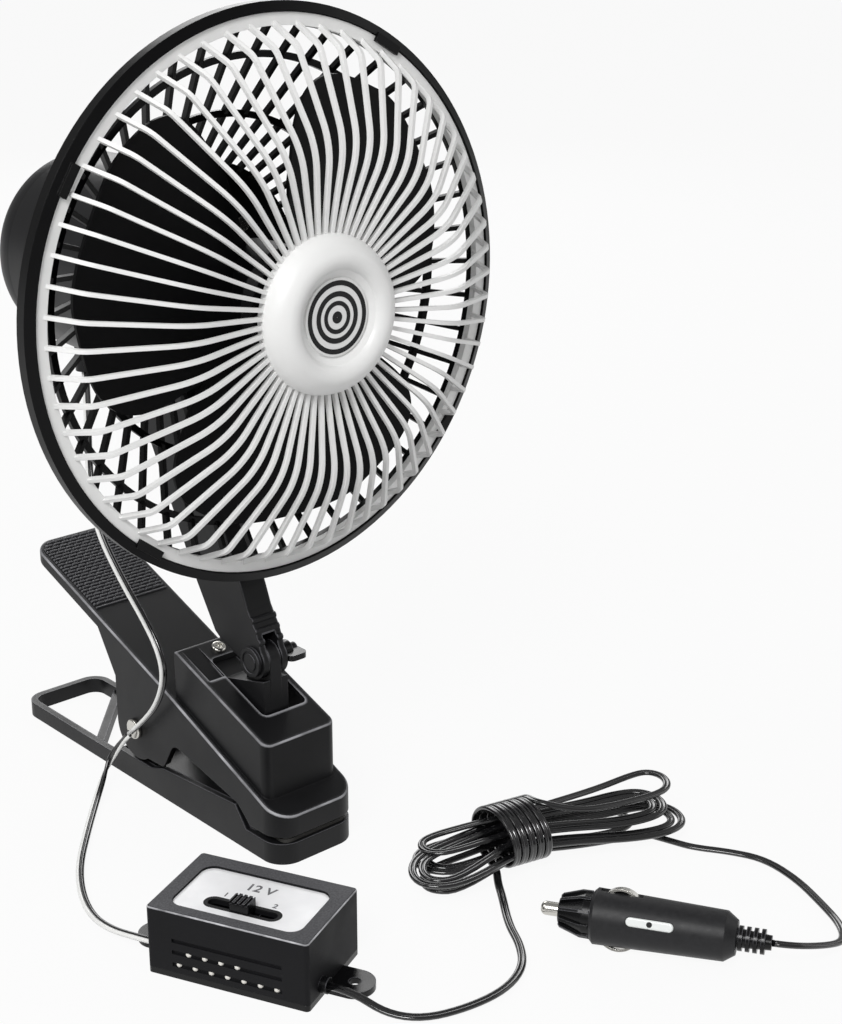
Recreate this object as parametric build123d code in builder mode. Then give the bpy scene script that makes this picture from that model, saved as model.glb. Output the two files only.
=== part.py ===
"""Clip-on twelve-volt fan.

A guarded three-blade head on a leaning neck, a sprung clip, an in-line switch box and a
lighter plug on a bundled cord. Millimetres, Z up, front towards -Y, the floor at Z = 0 and
the clip's hinge pin above the origin.
"""

import os
from math import acos, atan2, cos, degrees, hypot, pi, radians, sin, sqrt, tan

from build123d import *

os.makedirs("parts", exist_ok=True)

# Shared fits
OVERRUN = 2.0            # how far a cut runs past the face it opens
RUN_FIT = 0.05           # radial clearance of a turning fit
SLIDE_FIT = 0.10         # clearance of a sliding fit
PART_GAP = 0.30          # least space between pieces that move past each other
LARGE = 400.0            # reach of a cut or clip that passes everything

# Clip, seen from the side as (y, z)
CLIP_HALF_WIDTH = 20.5
SKIRT_THICK = 2.9
PLATE_THICK = 3.0
PIN_Z = 26.0
PIN_R = 3.0
PIN_HEAD_R = 4.5
PIN_HEAD_THICK = 1.8
SKIRT_ARC_R = 14.0
UPPER_REAR_Y = 77.0
UPPER_REAR_Z = 89.3
UPPER_BEND_Y = -20.0
UPPER_BEND_Z = 53.3
NOSE_Y = -99.0
UPPER_NOSE_Z = 21.0
UPPER_LIP_Z = 12.2
LIP_REAR_Y = -80.0
HANDLE_EDGE = 5.3
SKIRT_REAR_Y = 14.0
SKIRT_REAR_TOP_Z = 46.0
SKIRT_TURN_Y = 26.0
MOUTH_FRONT_Y = -72.0
MOUTH_FRONT_Z = 19.2
MOUTH_REAR_Y = -28.0
MOUTH_REAR_Z = 28.6
SKIRT_FOOT_Y = -20.0
SKIRT_FOOT_Z = 15.0
SKIRT_ARC_START_DEG = 234.2
SKIRT_ARC_MID_DEG = 315.0
REAR_WALL = 3.0
NOSE_CORNER_R = 10.0
REAR_CORNER_R = 9.0
TOP_EDGE_R = 1.2
TOP_LEAN_SHARE = 0.8
MOUTH_CORNER_R = 5.0
SKIRT_FOOT_R = 4.0

# Lower lever
LOWER_REAR_Y = 95.0
LOWER_HANDLE_Z = 7.0
LOWER_FRAME_FRONT_Y = 16.0
LOWER_FRAME_WALL = 3.2
LOWER_RELIEF_REAR_Y = 22.0
LOWER_RELIEF_Z = 10.8
LOWER_RELIEF_FRONT_Y = -10.0
LOWER_WALL_REAR_Y = -19.0
LOWER_WALL_REAR_Z = 13.8
LOWER_WALL_FRONT_Y = -70.0
LOWER_WALL_FRONT_Z = 17.6
LOWER_STEP_Y = -77.0
LOWER_LIP_Z = 9.0
LOWER_FLOOR = 2.6
EAR_INNER_X = 12.6
EAR_OUTER_X = 16.6
EAR_R = 7.0
EAR_FOOT_Y = 11.0
RIB_WIDE = 4.0
RIB_TALL = 5.0
RIB_FROM_Y = 34.0
RIB_TO_Y = 76.0

# Jaw pads and spring
PAD_HALF_X = 16.0
PAD_FRONT_Y = -97.0
PAD_REAR_Y = -83.0
PAD_CORNER_R = 3.0
LOWER_PAD_THICK = 1.5
UPPER_PAD_THICK = 1.4
SPRING_WIRE_R = 1.1
SPRING_COIL_R = 6.4
SPRING_HALF_X = 8.0
SPRING_TURNS = 4
SPRING_UPPER_LEG_Y = 30.0
SPRING_LOWER_LEG_Y = 13.0

# Housing on the upper lever and the post in it
HOUSE_HALF_X = 18.0
HOUSE_REAR_Y = -28.0
HOUSE_REAR_Z = 71.0
HOUSE_FRONT_Y = -88.7
HOUSE_FRONT_Z = 49.0
HOUSE_WALL = 2.4
HOUSE_CORNER_R = 4.0
HOUSE_TOP_R = 1.2
SLOT_LEFT_X = -7.5
SLOT_RIGHT_X = 14.5
SLOT_REAR_Y = -38.5
SLOT_FRONT_Y = -74.5
SLOT_CORNER_R = 2.5
RAMP_LEFT_X = -15.4
RAMP_REAR_Y = -30.0
RAMP_FRONT_Y = -49.0
RAMP_DEPTH = 1.0
POST_HALF_X = 6.0
POST_FRONT_Y = -73.0
POST_REAR_Y = -47.0
POST_SHOULDER_REAR_Y = -57.0
POST_SHOULDER_Z = 64.0
POST_FRONT_Z = 68.0
FLANGE_LEFT_X = -11.0
FLANGE_FRONT_Y = -80.0
FLANGE_REAR_Y = -30.6
FLANGE_THICK = 4.0
POST_SCREW_Y = -34.2
POST_SCREW_R = 1.6
POST_SCREW_HEAD_R = 3.1
POST_SCREW_HEAD_TALL = 1.5
SCREW_DOME_SHARE = 0.6
POST_SCREW_LONG = 5.6
CROSS_LONG = 3.4
CROSS_WIDE = 0.8
CROSS_DEEP = 0.7

# Neck and tilt joint
PIVOT_Y = -66.0
PIVOT_Z = 75.0
NECK_HALF_X = 6.0
TONGUE_HALF_X = 2.8
FORK_HALF_GAP = 3.1
FORK_R = 7.5
TONGUE_R = 7.2
SHOULDER_R = 8.3
FORK_SLOT_R = 12.0
BOLT_R = 2.5
BOLT_HEAD_R = 6.2
BOLT_HEAD_THICK = 1.8
BOLT_RING_R = 4.6
BOLT_RING_INNER_R = 3.6
BOLT_RING_DEEP = 0.5
BOLT_END_X = 15.0
WASHER_R = 6.4
NUT_FACE_X = 6.3
NUT_HUB_R = 4.4
NUT_HUB_LONG = 5.2
NUT_WING_HALF = 9.0
NUT_WING_THICK = 2.4
NUT_WING_TALL = 9.0
NUT_WING_R = 2.6
NECK_FRONT = ((-71.4, 80.2), (-68.4, 88.0), (-63.2, 96.0), (-60.0, 104.0), (-24.0, 178.0), (-24.0, 205.0))
NECK_REAR = ((18.0, 205.0), (18.0, 186.0), (-29.5, 98.8), (-41.0, 80.6), (-45.0, 78.0), (-58.8, 73.0))
NECK_BUMP_R = 1.4
NECK_BUMP_ZS = (84.0, 88.0, 92.0)

# Head, drawn about its own axis with Z forward from the rim plane, as (r, a)
HEAD_AXIS_Z = 224.0
RIM_Y = -83.0
RIM_R = 107.5
RIM_WALL = 3.6
RIM_INNER_R = RIM_R - RIM_WALL
RIM_FRONT_A = 1.0
RIM_REAR_A = -5.5
SEAT_WIDE = 5.0
SEAT_INNER_R = RIM_INNER_R - SEAT_WIDE
SEAT_A = -3.0
SEAT_THICK = 2.6
LUG_ANGLES = (60.0, 148.0, 232.0, 322.0)
LUG_WIDE = 12.0
LUG_LONG = 1.4
LUG_INNER_R = RIM_INNER_R - LUG_LONG
LUG_A = 0.15
LUG_THICK = 1.4
RING_CLEAR = 0.3
RING_WIDE = 4.6
RING_OUTER_R = RIM_INNER_R - RING_CLEAR
RING_INNER_R = RING_OUTER_R - RING_WIDE
HUB_R = 29.4
HUB_SKIRT_A = 24.0
HUB_EDGE_A = 27.4
HUB_SHOULDER_R = 27.6
HUB_SHOULDER_A = 32.0
HUB_CROWN_R = 24.4
HUB_CROWN_A = 34.9
HUB_TOP_R = 20.4
HUB_TOP_A = 35.7
HUB_LIP_R = 17.2
HUB_LIP_A = 33.2
HUB_DISH_R = 14.7
HUB_DISH_A = 31.4
HUB_SKIN = 2.0
BADGE_R = 14.3
BADGE_THICK = 0.8
GRILLE_RIBS = 60
GRILLE_RIB_WIDE = 1.5
GRILLE_RIB_THICK = 1.9
GRILLE_BITE = 1.2
GRILLE_BITE_A = -1.4
GRILLE_FOOT_A = 25.8
GRILLE_ELBOW_SHARE = 0.6145
GRILLE_ELBOW_A = 30.1
GRILLE_ELBOW_R = 26.0
GRILLE_KNEE_IN = 5.9
GRILLE_KNEE_A = 13.0
GRILLE_KNEE_R = 8.0
GRILLE_PATH = (
    (HUB_R - GRILLE_BITE, GRILLE_FOOT_A),
    (RING_INNER_R * GRILLE_ELBOW_SHARE, GRILLE_ELBOW_A),
    (RING_INNER_R - GRILLE_KNEE_IN, GRILLE_KNEE_A),
    (RING_INNER_R + GRILLE_BITE, GRILLE_BITE_A),
)

# Motor
COVER_FRONT_A = -53.0
COVER_R = 43.0
COVER_TAIL_R = 40.6
COVER_TAIL_A = -126.0
COVER_END_R = 24.0
COVER_END_A = -146.0
COVER_SKIN = 2.0
VENT_COUNT = 12
VENT_WIDE = 2.4
VENT_FROM_R = 9.0
VENT_TO_R = 20.0
PLATE_CLEAR = 0.4
PLATE_R = COVER_R - COVER_SKIN - PLATE_CLEAR
PLATE_REAR_A = -56.0
PLATE_BORE_R = 7.0
CAN_R = 19.0
CAN_FRONT_A = -60.0
CAN_REAR_A = -112.0
CAN_SKIN = 1.4
BUSH_R = 5.0
BUSH_LONG = 5.0
SHAFT_R = 1.6
SHAFT_FRONT_A = 8.0
ROTOR_R = 14.0
ROTOR_GAP_A = 7.0
STANDOFF_R = 3.0
STANDOFF_AT_R = 14.0
STANDOFF_COUNT = 4
GUARD_SCREW_AT_R = 28.0
GUARD_SCREW_COUNT = 4
GUARD_SCREW_FROM_DEG = 45.0
GUARD_SCREW_R = 1.5
GUARD_SCREW_HEAD_R = 3.0
GUARD_SCREW_HEAD_TALL = 1.6

# Rear guard
FLANGE_INNER_R = 22.0
FLANGE_LIP = 3.0
FLANGE_OUTER_R = COVER_R + FLANGE_LIP
FLANGE_FRONT_A = -50.0
FLANGE_REAR_A = COVER_FRONT_A
GUARD_RIBS = 45
GUARD_RIB_WIDE = 1.8
GUARD_RIB_THICK = 2.4
GUARD_RING_SHARE = 0.8186
GUARD_RING_R = RIM_R * GUARD_RING_SHARE
GUARD_RING_A = -17.0
GUARD_RING2_SHARE = 0.6047
GUARD_RING2_R = RIM_R * GUARD_RING2_SHARE
GUARD_RING2_A = -35.0
GUARD_RING_HALF = 1.3
GUARD_BITE = 2.0
GUARD_FOOT_A = -51.4
GUARD_PATH = (
    (RIM_INNER_R, SEAT_A - SEAT_THICK / 2),
    (GUARD_RING_R, GUARD_RING_A),
    (GUARD_RING2_R, GUARD_RING2_A),
    (FLANGE_OUTER_R - GUARD_BITE, GUARD_FOOT_A),
)

# Fan, angles counted anticlockwise from +X seen from the front
BLADE_COUNT = 3
BLADE_CENTRE_DEG = 160.0
NUT_DOME_SHARE = 0.5
BLADE_ANGLES = (-53.0, -50.5, -48.0, -44.0, -37.0, -24.0, 0.0, 22.0, 33.0, 39.0, 43.5, 46.5, 49.0)
BLADE_REACH_SHARES = (
    0.52, 0.655, 0.77, 0.885, 0.954, 0.988, 1.0, 0.994, 0.971, 0.925, 0.839, 0.701, 0.52,
)
BLADE_RIM_GAP = 16.9
BLADE_TIP_R = RIM_INNER_R - BLADE_RIM_GAP
BLADE_RISE_PER_DEG = 0.17
BLADE_MID_A = -4.0
BLADE_THICK = 1.6
BLADE_ROOT_R = 19.0
FAN_HUB_R = 21.0
FAN_HUB_FRONT_A = 6.0
FAN_HUB_REAR_A = -18.0
FAN_HUB_SKIN = 2.0
FAN_HUB_EDGE_R = 3.0
FAN_BOSS_R = 5.0
FAN_BOSS_REAR_A = -16.0
BLADE_NUT_R = 6.0
BLADE_NUT_TALL = 7.0

# Cord and gland
CORD_R = 1.55
GLAND_X = -10.0
GLAND_Y = 40.0
GLAND_R = 4.0
GLAND_SINK = 0.8
GLAND_TOP_Z = HEAD_AXIS_Z - sqrt(COVER_TAIL_R**2 - GLAND_X**2) + GLAND_SINK
GLAND_LONG = 10.6
GLAND_BOTTOM_Z = GLAND_TOP_Z - GLAND_LONG
GLAND_RUN = 16.0

# Switch box, drawn in its own plan with X along its length
BOX_X = -66.8
BOX_Y = -143.6
BOX_YAW_DEG = -65.35
BOX_LONG = 64.7
BOX_WIDE = 41.0
BOX_TALL = 27.2
BOX_WALL = 2.0
BOX_ROOF = 3.0
BOX_CORNER_R = 1.6
BOX_EDGE_R = 0.8
BASE_THICK = 2.5
BASE_LIP_TALL = 3.0
BASE_LIP_THICK = 1.6
EAR_REACH = 8.05
EAR_HOLE_AT = BOX_LONG / 2 + EAR_REACH
EAR_HOLE_R = 2.2
EAR_ROUND_R = 7.5
LABEL_MARGIN = 6.35
LABEL_LONG = BOX_LONG - 2 * LABEL_MARGIN
LABEL_WIDE = 29.0
LABEL_THICK = 0.6
LABEL_SINK = 0.9
LABEL_CORNER_R = 5.0
LABEL_Y = -1.0
SLIDE_LONG = 28.0
SLIDE_WIDE = 4.4
SLIDE_Y = -7.4
KNOB_LONG = 8.0
KNOB_WIDE = 6.4
KNOB_NECK_WIDE = 4.0
KNOB_TALL = 3.7
KNOB_RIDGES = 4
KNOB_RIDGE_WIDE = 0.9
KNOB_RIDGE_DEEP = 0.7
KNOB_RIDGE_STEP = 2.0
KNOB_FOOT_LONG = 12.0
KNOB_FOOT_WIDE = 7.0
KNOB_FOOT_TALL = 2.0
SWITCH_LONG = 40.0
SWITCH_WIDE = 12.0
SWITCH_TALL = 8.0
SWITCH_WELL_LONG = 30.0
SWITCH_WELL_WIDE = 8.0
RESISTOR_LONG = 42.0
RESISTOR_WIDE = 9.0
RESISTOR_TALL = 11.0
RESISTOR_Y = -12.2
GROOVE_ZS = (5.6, 10.7, 15.4)
GROOVE_TALL = 1.6
GROOVE_DEEP = 0.8
GROOVE_LONG = 44.0
VENT_R = 0.9
VENT_STEP = 6.55
LOWER_VENTS = 7
UPPER_VENTS = 4
UPPER_VENT_FROM_X = -15.6
CORD_BOX_Y = -10.4
CORD_BOX_Z = 5.6
GROMMET_R = 2.8
GROMMET_LIP_R = 3.0
GROMMET_LIP_LONG = 3.0
BOX_SCREW_IN = 7.35
BOX_SCREW_AT_X = BOX_LONG / 2 - BOX_SCREW_IN
BOX_SCREW_AT_Y = 13.0
BOX_POST_R = 3.4
BOX_SCREW_R = 1.3
BOX_SCREW_HEAD_R = 2.4
BOX_SCREW_HEAD_TALL = 1.4
BOX_SCREW_LONG = 11.0
BOX_POST_FOOT_Z = 10.0

# Plug, drawn along its own axis with Z from the cord end to the tip
PLUG_BACK_X = 62.2
PLUG_BACK_Y = -261.5
PLUG_TIP_X = 24.1
PLUG_TIP_Y = -199.3
PLUG_AXIS_Z = 11.0
PLUG_REAR_R = 9.2
PLUG_FRONT_R = 10.4
PLUG_BEVEL_R = 6.4
PLUG_BEVEL_LONG = 4.0
PLUG_BODY_LONG = 53.0
PLUG_FRONT_CHAMFER = 1.2
PLUG_BORE_R = 4.4
PLUG_BORE_FROM = 14.0
CAP_SHOULDER_R = 8.2
CAP_TIP_R = 4.6
CAP_LONG = 12.5
CAP_RIM_LONG = 3.0
CAP_WALL_FRONT = 2.2
TIP_R = 2.6
TIP_REACH = 7.0
TIP_FLANGE_R = 3.9
TIP_FLANGE_LONG = 2.4
TIP_ROUND_R = 2.0
FUSE_R = 3.1
FUSE_LONG = 30.0
TIP_SPRING_R = 3.0
TIP_SPRING_WIRE_R = 0.4
TIP_SPRING_TURNS = 6
CONTACT_FROM = 35.0
CONTACT_TO = 50.5
CONTACT_WIDE = 5.0
CONTACT_THICK = 0.8
CONTACT_BOW = 1.1
CONTACT_TURN_DEG = 20.0
CONTACT_SLOT_DEEP = 2.6
LENS_FROM = 22.0
LENS_TO = 39.5
LENS_WIDE = 3.4
LENS_SEAT_R = 7.6
LENS_TALL = 2.7
LENS_EDGE_R = 0.7
LENS_TURN_DEG = -60.0
RELIEF_LONG = 12.5
RELIEF_R = 3.6
RELIEF_END_R = 2.7
RELIEF_RIB_R = 4.6
RELIEF_RIB_LONG = 1.5
RELIEF_RIB_STEP = 2.7
RELIEF_RIBS = 4

# Cord routes
BEND_SHARE = 0.45
CORD_HEAD_ROUTE = (
    (GLAND_X, GLAND_Y, GLAND_BOTTOM_Z), (GLAND_X, GLAND_Y, GLAND_BOTTOM_Z - GLAND_RUN),
    (-12.0, 38.4, 139.0), (-16.2, 31.4, 122.0), (-20.2, 20.0, 108.6), (-23.4, -1.5, 94.0),
    (-25.2, -18.5, 83.6), (-25.8, -28.8, 74.0), (-25.8, -32.0, 64.0), (-25.8, -28.0, 52.0),
    (-25.8, -18.5, 39.6), (-25.8, -3.6, 26.8),
)
CORD_MID_ROUTE = (
    (-25.9, -3.2, 26.4), (-26.8, 5.0, 17.6), (-31.0, 8.0, 9.0), (-39.0, 2.0, 2.8),
    (-50.0, -10.0, 1.6), (-64.0, -26.5, 1.6), (-79.0, -45.0, 1.6), (-89.5, -63.0, 1.6),
    (-95.6, -80.0, 1.8), (-97.2, -95.6, 4.0),
)
CORD_OUT_ROUTE = (
    (-54.2, -202.0, 2.0), (-46.0, -212.6, 1.6), (-30.0, -218.0, 1.6), (-13.0, -219.0, 1.6),
    (1.5, -213.4, 1.6), (11.0, -202.4, 1.6), (17.4, -189.6, 1.6),
)
CORD_LEAD_ROUTE = (
    (121.4, -211.0, 1.6), (127.0, -224.0, 1.6), (124.0, -242.0, 1.6), (117.0, -258.5, 1.6),
    (110.0, -273.0, 1.6), (100.0, -281.8, 3.0), (88.0, -282.4, 6.5),
)

# Bundled cord, drawn with U along the bundle from its tied waist and V across it
HANK_X = 54.0
HANK_Y = -155.0
HANK_YAW_DEG = -13.4
HANK_RIGHT_REACHES = (73.0, 69.0, 66.0, 62.0)
HANK_LEFT_REACHES = (40.5, 39.5, 38.5, 38.0)
HANK_RIGHT_SWAYS = (-3.5, 3.5, -1.5, 1.0)
HANK_LEFT_SWAYS = (2.5, -2.5, 1.5, 0.0)
HANK_LOBE = 6.0
HANK_WAIST = 2.0
HANK_STEP = 4.2
HANK_LAYER = 3.7
HANK_DROP = 5.5
HANK_TURNS = (1, 2, 2, 1)
HANK_SIDES = 6
WRAP_HALF_V = 14.9
WRAP_HALF_Z = 11.1
WRAP_PITCH = 3.6
WRAP_QUARTERS = 22
START_U = -16.0
START_V = -15.0
START_HEADING_DEG = 69.0
JOIN_U = 13.0
JOIN_V = -7.2
JOIN_DROP = 3.0
EXIT_RUN_U = 46.0
EXIT_RUN_V = 3.0
EXIT_U = 63.0
EXIT_V = -21.0
EXIT_HEADING_DEG = -60.0
JOIN_LEAN_SHARES = (1.0, -0.2, -0.12)
HANK_SAMPLES = 10
HANK_APART = 14.0
HANK_RUN = 9.0
BOX_RUN = 9.0
PLUG_RUN = 7.0

HEAD_PLANE = Plane(origin=(0, RIM_Y, HEAD_AXIS_Z), x_dir=(1, 0, 0), z_dir=(0, -1, 0))
BOX_PLANE = Plane(
    origin=(BOX_X, BOX_Y, 0),
    x_dir=(cos(radians(BOX_YAW_DEG)), sin(radians(BOX_YAW_DEG)), 0),
    z_dir=(0, 0, 1),
)
PLUG_PLANE = Plane(
    origin=(PLUG_BACK_X, PLUG_BACK_Y, PLUG_AXIS_Z),
    x_dir=(0, 0, 1),
    z_dir=(PLUG_TIP_X - PLUG_BACK_X, PLUG_TIP_Y - PLUG_BACK_Y, 0),
)


def write(part, name, plane=Plane.XY):
    """Moves a piece from its drawing plane to its place, labels it and writes its file."""
    placed = part.moved(plane.location)
    placed.label = name
    export_step(placed, f"parts/{name}.step")
    return placed


def band(path, thick):
    """Outline of a strip of even thickness along a bent path, mitred at its corners."""
    left, right = [], []
    for i, point in enumerate(path):
        here = Vector(*point)
        ahead = (Vector(*path[min(i + 1, len(path) - 1)]) - here)
        behind = (here - Vector(*path[max(i - 1, 0)]))
        ahead = (ahead if ahead.length > 0 else behind).normalized()
        behind = (behind if behind.length > 0 else ahead).normalized()
        middle = (ahead + behind).normalized()
        reach = thick / 2 / middle.dot(ahead)
        side = Vector(-middle.Y, middle.X) * reach
        left.append(here + side)
        right.append(here - side)
    return [(v.X, v.Y) for v in left + right[::-1]]


def slope(a, b, y):
    """Height at y on the straight line through two (y, z) points."""
    return a[1] + (b[1] - a[1]) * (y - a[0]) / (b[0] - a[0])


def cord(route, name, radius=CORD_R):
    """A round cord along straight runs joined by tangent arcs."""
    points = [Vector(*p) for p in route]
    runs = [(b - a).length for a, b in zip(points, points[1:])]
    radii = []
    for i in range(1, len(points) - 1):
        turn = (points[i] - points[i - 1]).get_angle(points[i + 1] - points[i])
        radii.append(BEND_SHARE * min(runs[i - 1], runs[i]) / tan(radians(max(turn, 1.0)) / 2))
    with BuildPart() as tube:
        with BuildLine() as path:
            FilletPolyline(*points, radius=radii)
        with BuildSketch(Plane(origin=points[0], z_dir=points[1] - points[0])):
            Circle(radius)
        sweep(path=path.wires()[0])
    length = path.wires()[0].length
    share = tube.part.volume / (pi * radius**2 * length)
    print(name, "length", round(length, 1), "volume share", round(share, 4))
    print(name, "least bend", round(min(radii), 1))
    write(tube.part, name)
    return tube


UPPER_REAR = (UPPER_REAR_Y, UPPER_REAR_Z)
UPPER_BEND = (UPPER_BEND_Y, UPPER_BEND_Z)
UPPER_NOSE = (NOSE_Y, UPPER_NOSE_Z)
HOUSE_REAR = (HOUSE_REAR_Y, HOUSE_REAR_Z)
HOUSE_FRONT = (HOUSE_FRONT_Y, HOUSE_FRONT_Z)
SKIRT_INNER_X = CLIP_HALF_WIDTH - SKIRT_THICK
HOUSE_TOP_PLANE = Plane(
    origin=(0, POST_SCREW_Y, HOUSE_REAR_Z + (HOUSE_FRONT_Z - HOUSE_REAR_Z) * (POST_SCREW_Y - HOUSE_REAR_Y)
            / (HOUSE_FRONT_Y - HOUSE_REAR_Y)),
    x_dir=(1, 0, 0),
    z_dir=(0, HOUSE_FRONT_Z - HOUSE_REAR_Z, HOUSE_REAR_Y - HOUSE_FRONT_Y),
)


def on_skirt_arc(angle, radius=SKIRT_ARC_R):
    """Point (y, z) on a circle about the hinge pin."""
    return (radius * cos(radians(angle)), PIN_Z + radius * sin(radians(angle)))


# Raised housing of the upper lever: outer block and the hollow in it
house_drop = HOUSE_WALL / cos(atan2(HOUSE_REAR_Z - HOUSE_FRONT_Z, HOUSE_REAR_Y - HOUSE_FRONT_Y))
with BuildPart() as house_block:
    with BuildSketch(Plane.YZ):
        Polygon(
            HOUSE_REAR,
            HOUSE_FRONT,
            (HOUSE_FRONT_Y, slope(UPPER_BEND, UPPER_NOSE, HOUSE_FRONT_Y) - PLATE_THICK / 2),
            (HOUSE_REAR_Y, slope(UPPER_BEND, UPPER_NOSE, HOUSE_REAR_Y) - PLATE_THICK / 2),
            align=None,
        )
    extrude(amount=HOUSE_HALF_X, both=True)
    fillet(house_block.edges().filter_by(Axis.Z).group_by(Axis.Y)[0], HOUSE_CORNER_R)
    fillet(house_block.faces().sort_by(Axis.Z)[-1].edges(), HOUSE_TOP_R)

with BuildPart() as upper_jaw:
    with BuildSketch(Plane.YZ) as upper_side:
        with BuildLine():
            Polyline(
                on_skirt_arc(0),
                (SKIRT_REAR_Y, SKIRT_REAR_TOP_Z),
                (SKIRT_TURN_Y, slope(UPPER_REAR, UPPER_BEND, SKIRT_TURN_Y) - HANDLE_EDGE),
                (UPPER_REAR_Y, UPPER_REAR_Z - HANDLE_EDGE),
                UPPER_REAR,
                UPPER_BEND,
                UPPER_NOSE,
                (NOSE_Y, UPPER_LIP_Z),
                (LIP_REAR_Y, UPPER_LIP_Z),
                (MOUTH_FRONT_Y, MOUTH_FRONT_Z),
                (MOUTH_REAR_Y, MOUTH_REAR_Z),
                (SKIRT_FOOT_Y, SKIRT_FOOT_Z),
                on_skirt_arc(SKIRT_ARC_START_DEG),
            )
            ThreePointArc(on_skirt_arc(SKIRT_ARC_START_DEG), on_skirt_arc(SKIRT_ARC_MID_DEG), on_skirt_arc(0))
        make_face()
        fillet(upper_side.vertices().sort_by_distance((MOUTH_REAR_Y, MOUTH_REAR_Z))[0], MOUTH_CORNER_R)
        fillet(upper_side.vertices().sort_by_distance((SKIRT_FOOT_Y, SKIRT_FOOT_Z))[0], SKIRT_FOOT_R)
    extrude(amount=CLIP_HALF_WIDTH, both=True)
    with BuildSketch(Plane.YZ):
        Polygon(
            (
                UPPER_REAR_Y - REAR_WALL,
                slope(UPPER_REAR, UPPER_BEND, UPPER_REAR_Y - REAR_WALL) - PLATE_THICK,
            ),
            (UPPER_BEND_Y, UPPER_BEND_Z - PLATE_THICK),
            (LIP_REAR_Y, slope(UPPER_BEND, UPPER_NOSE, LIP_REAR_Y) - PLATE_THICK),
            (LIP_REAR_Y, 0),
            (UPPER_REAR_Y - REAR_WALL, 0),
            align=None,
        )
    extrude(amount=SKIRT_INNER_X, both=True, mode=Mode.SUBTRACT)
    with BuildSketch(Plane.XY) as upper_plan:
        with Locations((0, (UPPER_REAR_Y + NOSE_Y) / 2)):
            Rectangle(2 * CLIP_HALF_WIDTH, UPPER_REAR_Y - NOSE_Y)
        fillet(upper_plan.vertices().group_by(Axis.Y)[0], NOSE_CORNER_R)
        fillet(upper_plan.vertices().group_by(Axis.Y)[-1], REAR_CORNER_R)
    extrude(amount=LARGE, mode=Mode.INTERSECT)
    top_edges = upper_jaw.faces().filter_by(lambda face: face.normal_at().Z > TOP_LEAN_SHARE).edges()
    fillet(top_edges.filter_by(lambda edge: list(top_edges).count(edge) == 1), TOP_EDGE_R)
    add(house_block.part)
    with BuildSketch(Plane.YZ):
        Polygon(
            (
                HOUSE_REAR_Y - HOUSE_WALL,
                slope(HOUSE_REAR, HOUSE_FRONT, HOUSE_REAR_Y - HOUSE_WALL) - house_drop,
            ),
            (
                HOUSE_FRONT_Y + HOUSE_WALL,
                slope(HOUSE_REAR, HOUSE_FRONT, HOUSE_FRONT_Y + HOUSE_WALL) - house_drop,
            ),
            (HOUSE_FRONT_Y + HOUSE_WALL, slope(UPPER_BEND, UPPER_NOSE, HOUSE_FRONT_Y)),
            (LIP_REAR_Y, slope(UPPER_BEND, UPPER_NOSE, LIP_REAR_Y)),
            (LIP_REAR_Y, 0),
            (HOUSE_REAR_Y - HOUSE_WALL, 0),
            align=None,
        )
    extrude(amount=HOUSE_HALF_X - HOUSE_WALL, both=True, mode=Mode.SUBTRACT)
    with BuildSketch(Plane.XY.offset(HOUSE_FRONT_Z - HOUSE_WALL)):
        with Locations(((SLOT_LEFT_X + SLOT_RIGHT_X) / 2, (SLOT_REAR_Y + SLOT_FRONT_Y) / 2)):
            RectangleRounded(SLOT_RIGHT_X - SLOT_LEFT_X, SLOT_REAR_Y - SLOT_FRONT_Y, SLOT_CORNER_R)
    extrude(amount=LARGE, mode=Mode.SUBTRACT)
    with BuildSketch(Plane.YZ.offset(RAMP_LEFT_X)):
        Polygon(
            (RAMP_REAR_Y, slope(HOUSE_REAR, HOUSE_FRONT, RAMP_REAR_Y)),
            (RAMP_FRONT_Y, slope(HOUSE_REAR, HOUSE_FRONT, RAMP_FRONT_Y) - RAMP_DEPTH),
            (RAMP_FRONT_Y, slope(HOUSE_REAR, HOUSE_FRONT, RAMP_FRONT_Y) + OVERRUN),
            (RAMP_REAR_Y, slope(HOUSE_REAR, HOUSE_FRONT, RAMP_REAR_Y) + OVERRUN),
            align=None,
        )
    extrude(amount=SLOT_LEFT_X - RAMP_LEFT_X - PART_GAP, mode=Mode.SUBTRACT)
    with BuildSketch(Plane.YZ):
        with Locations((0, PIN_Z)):
            Circle(PIN_R + RUN_FIT)
    extrude(amount=CLIP_HALF_WIDTH + OVERRUN, both=True, mode=Mode.SUBTRACT)
    with BuildSketch(HOUSE_TOP_PLANE):
        Circle(POST_SCREW_R)
    extrude(amount=HOUSE_WALL + OVERRUN, both=True, mode=Mode.SUBTRACT)
write(upper_jaw.part, "upper_jaw")

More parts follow.
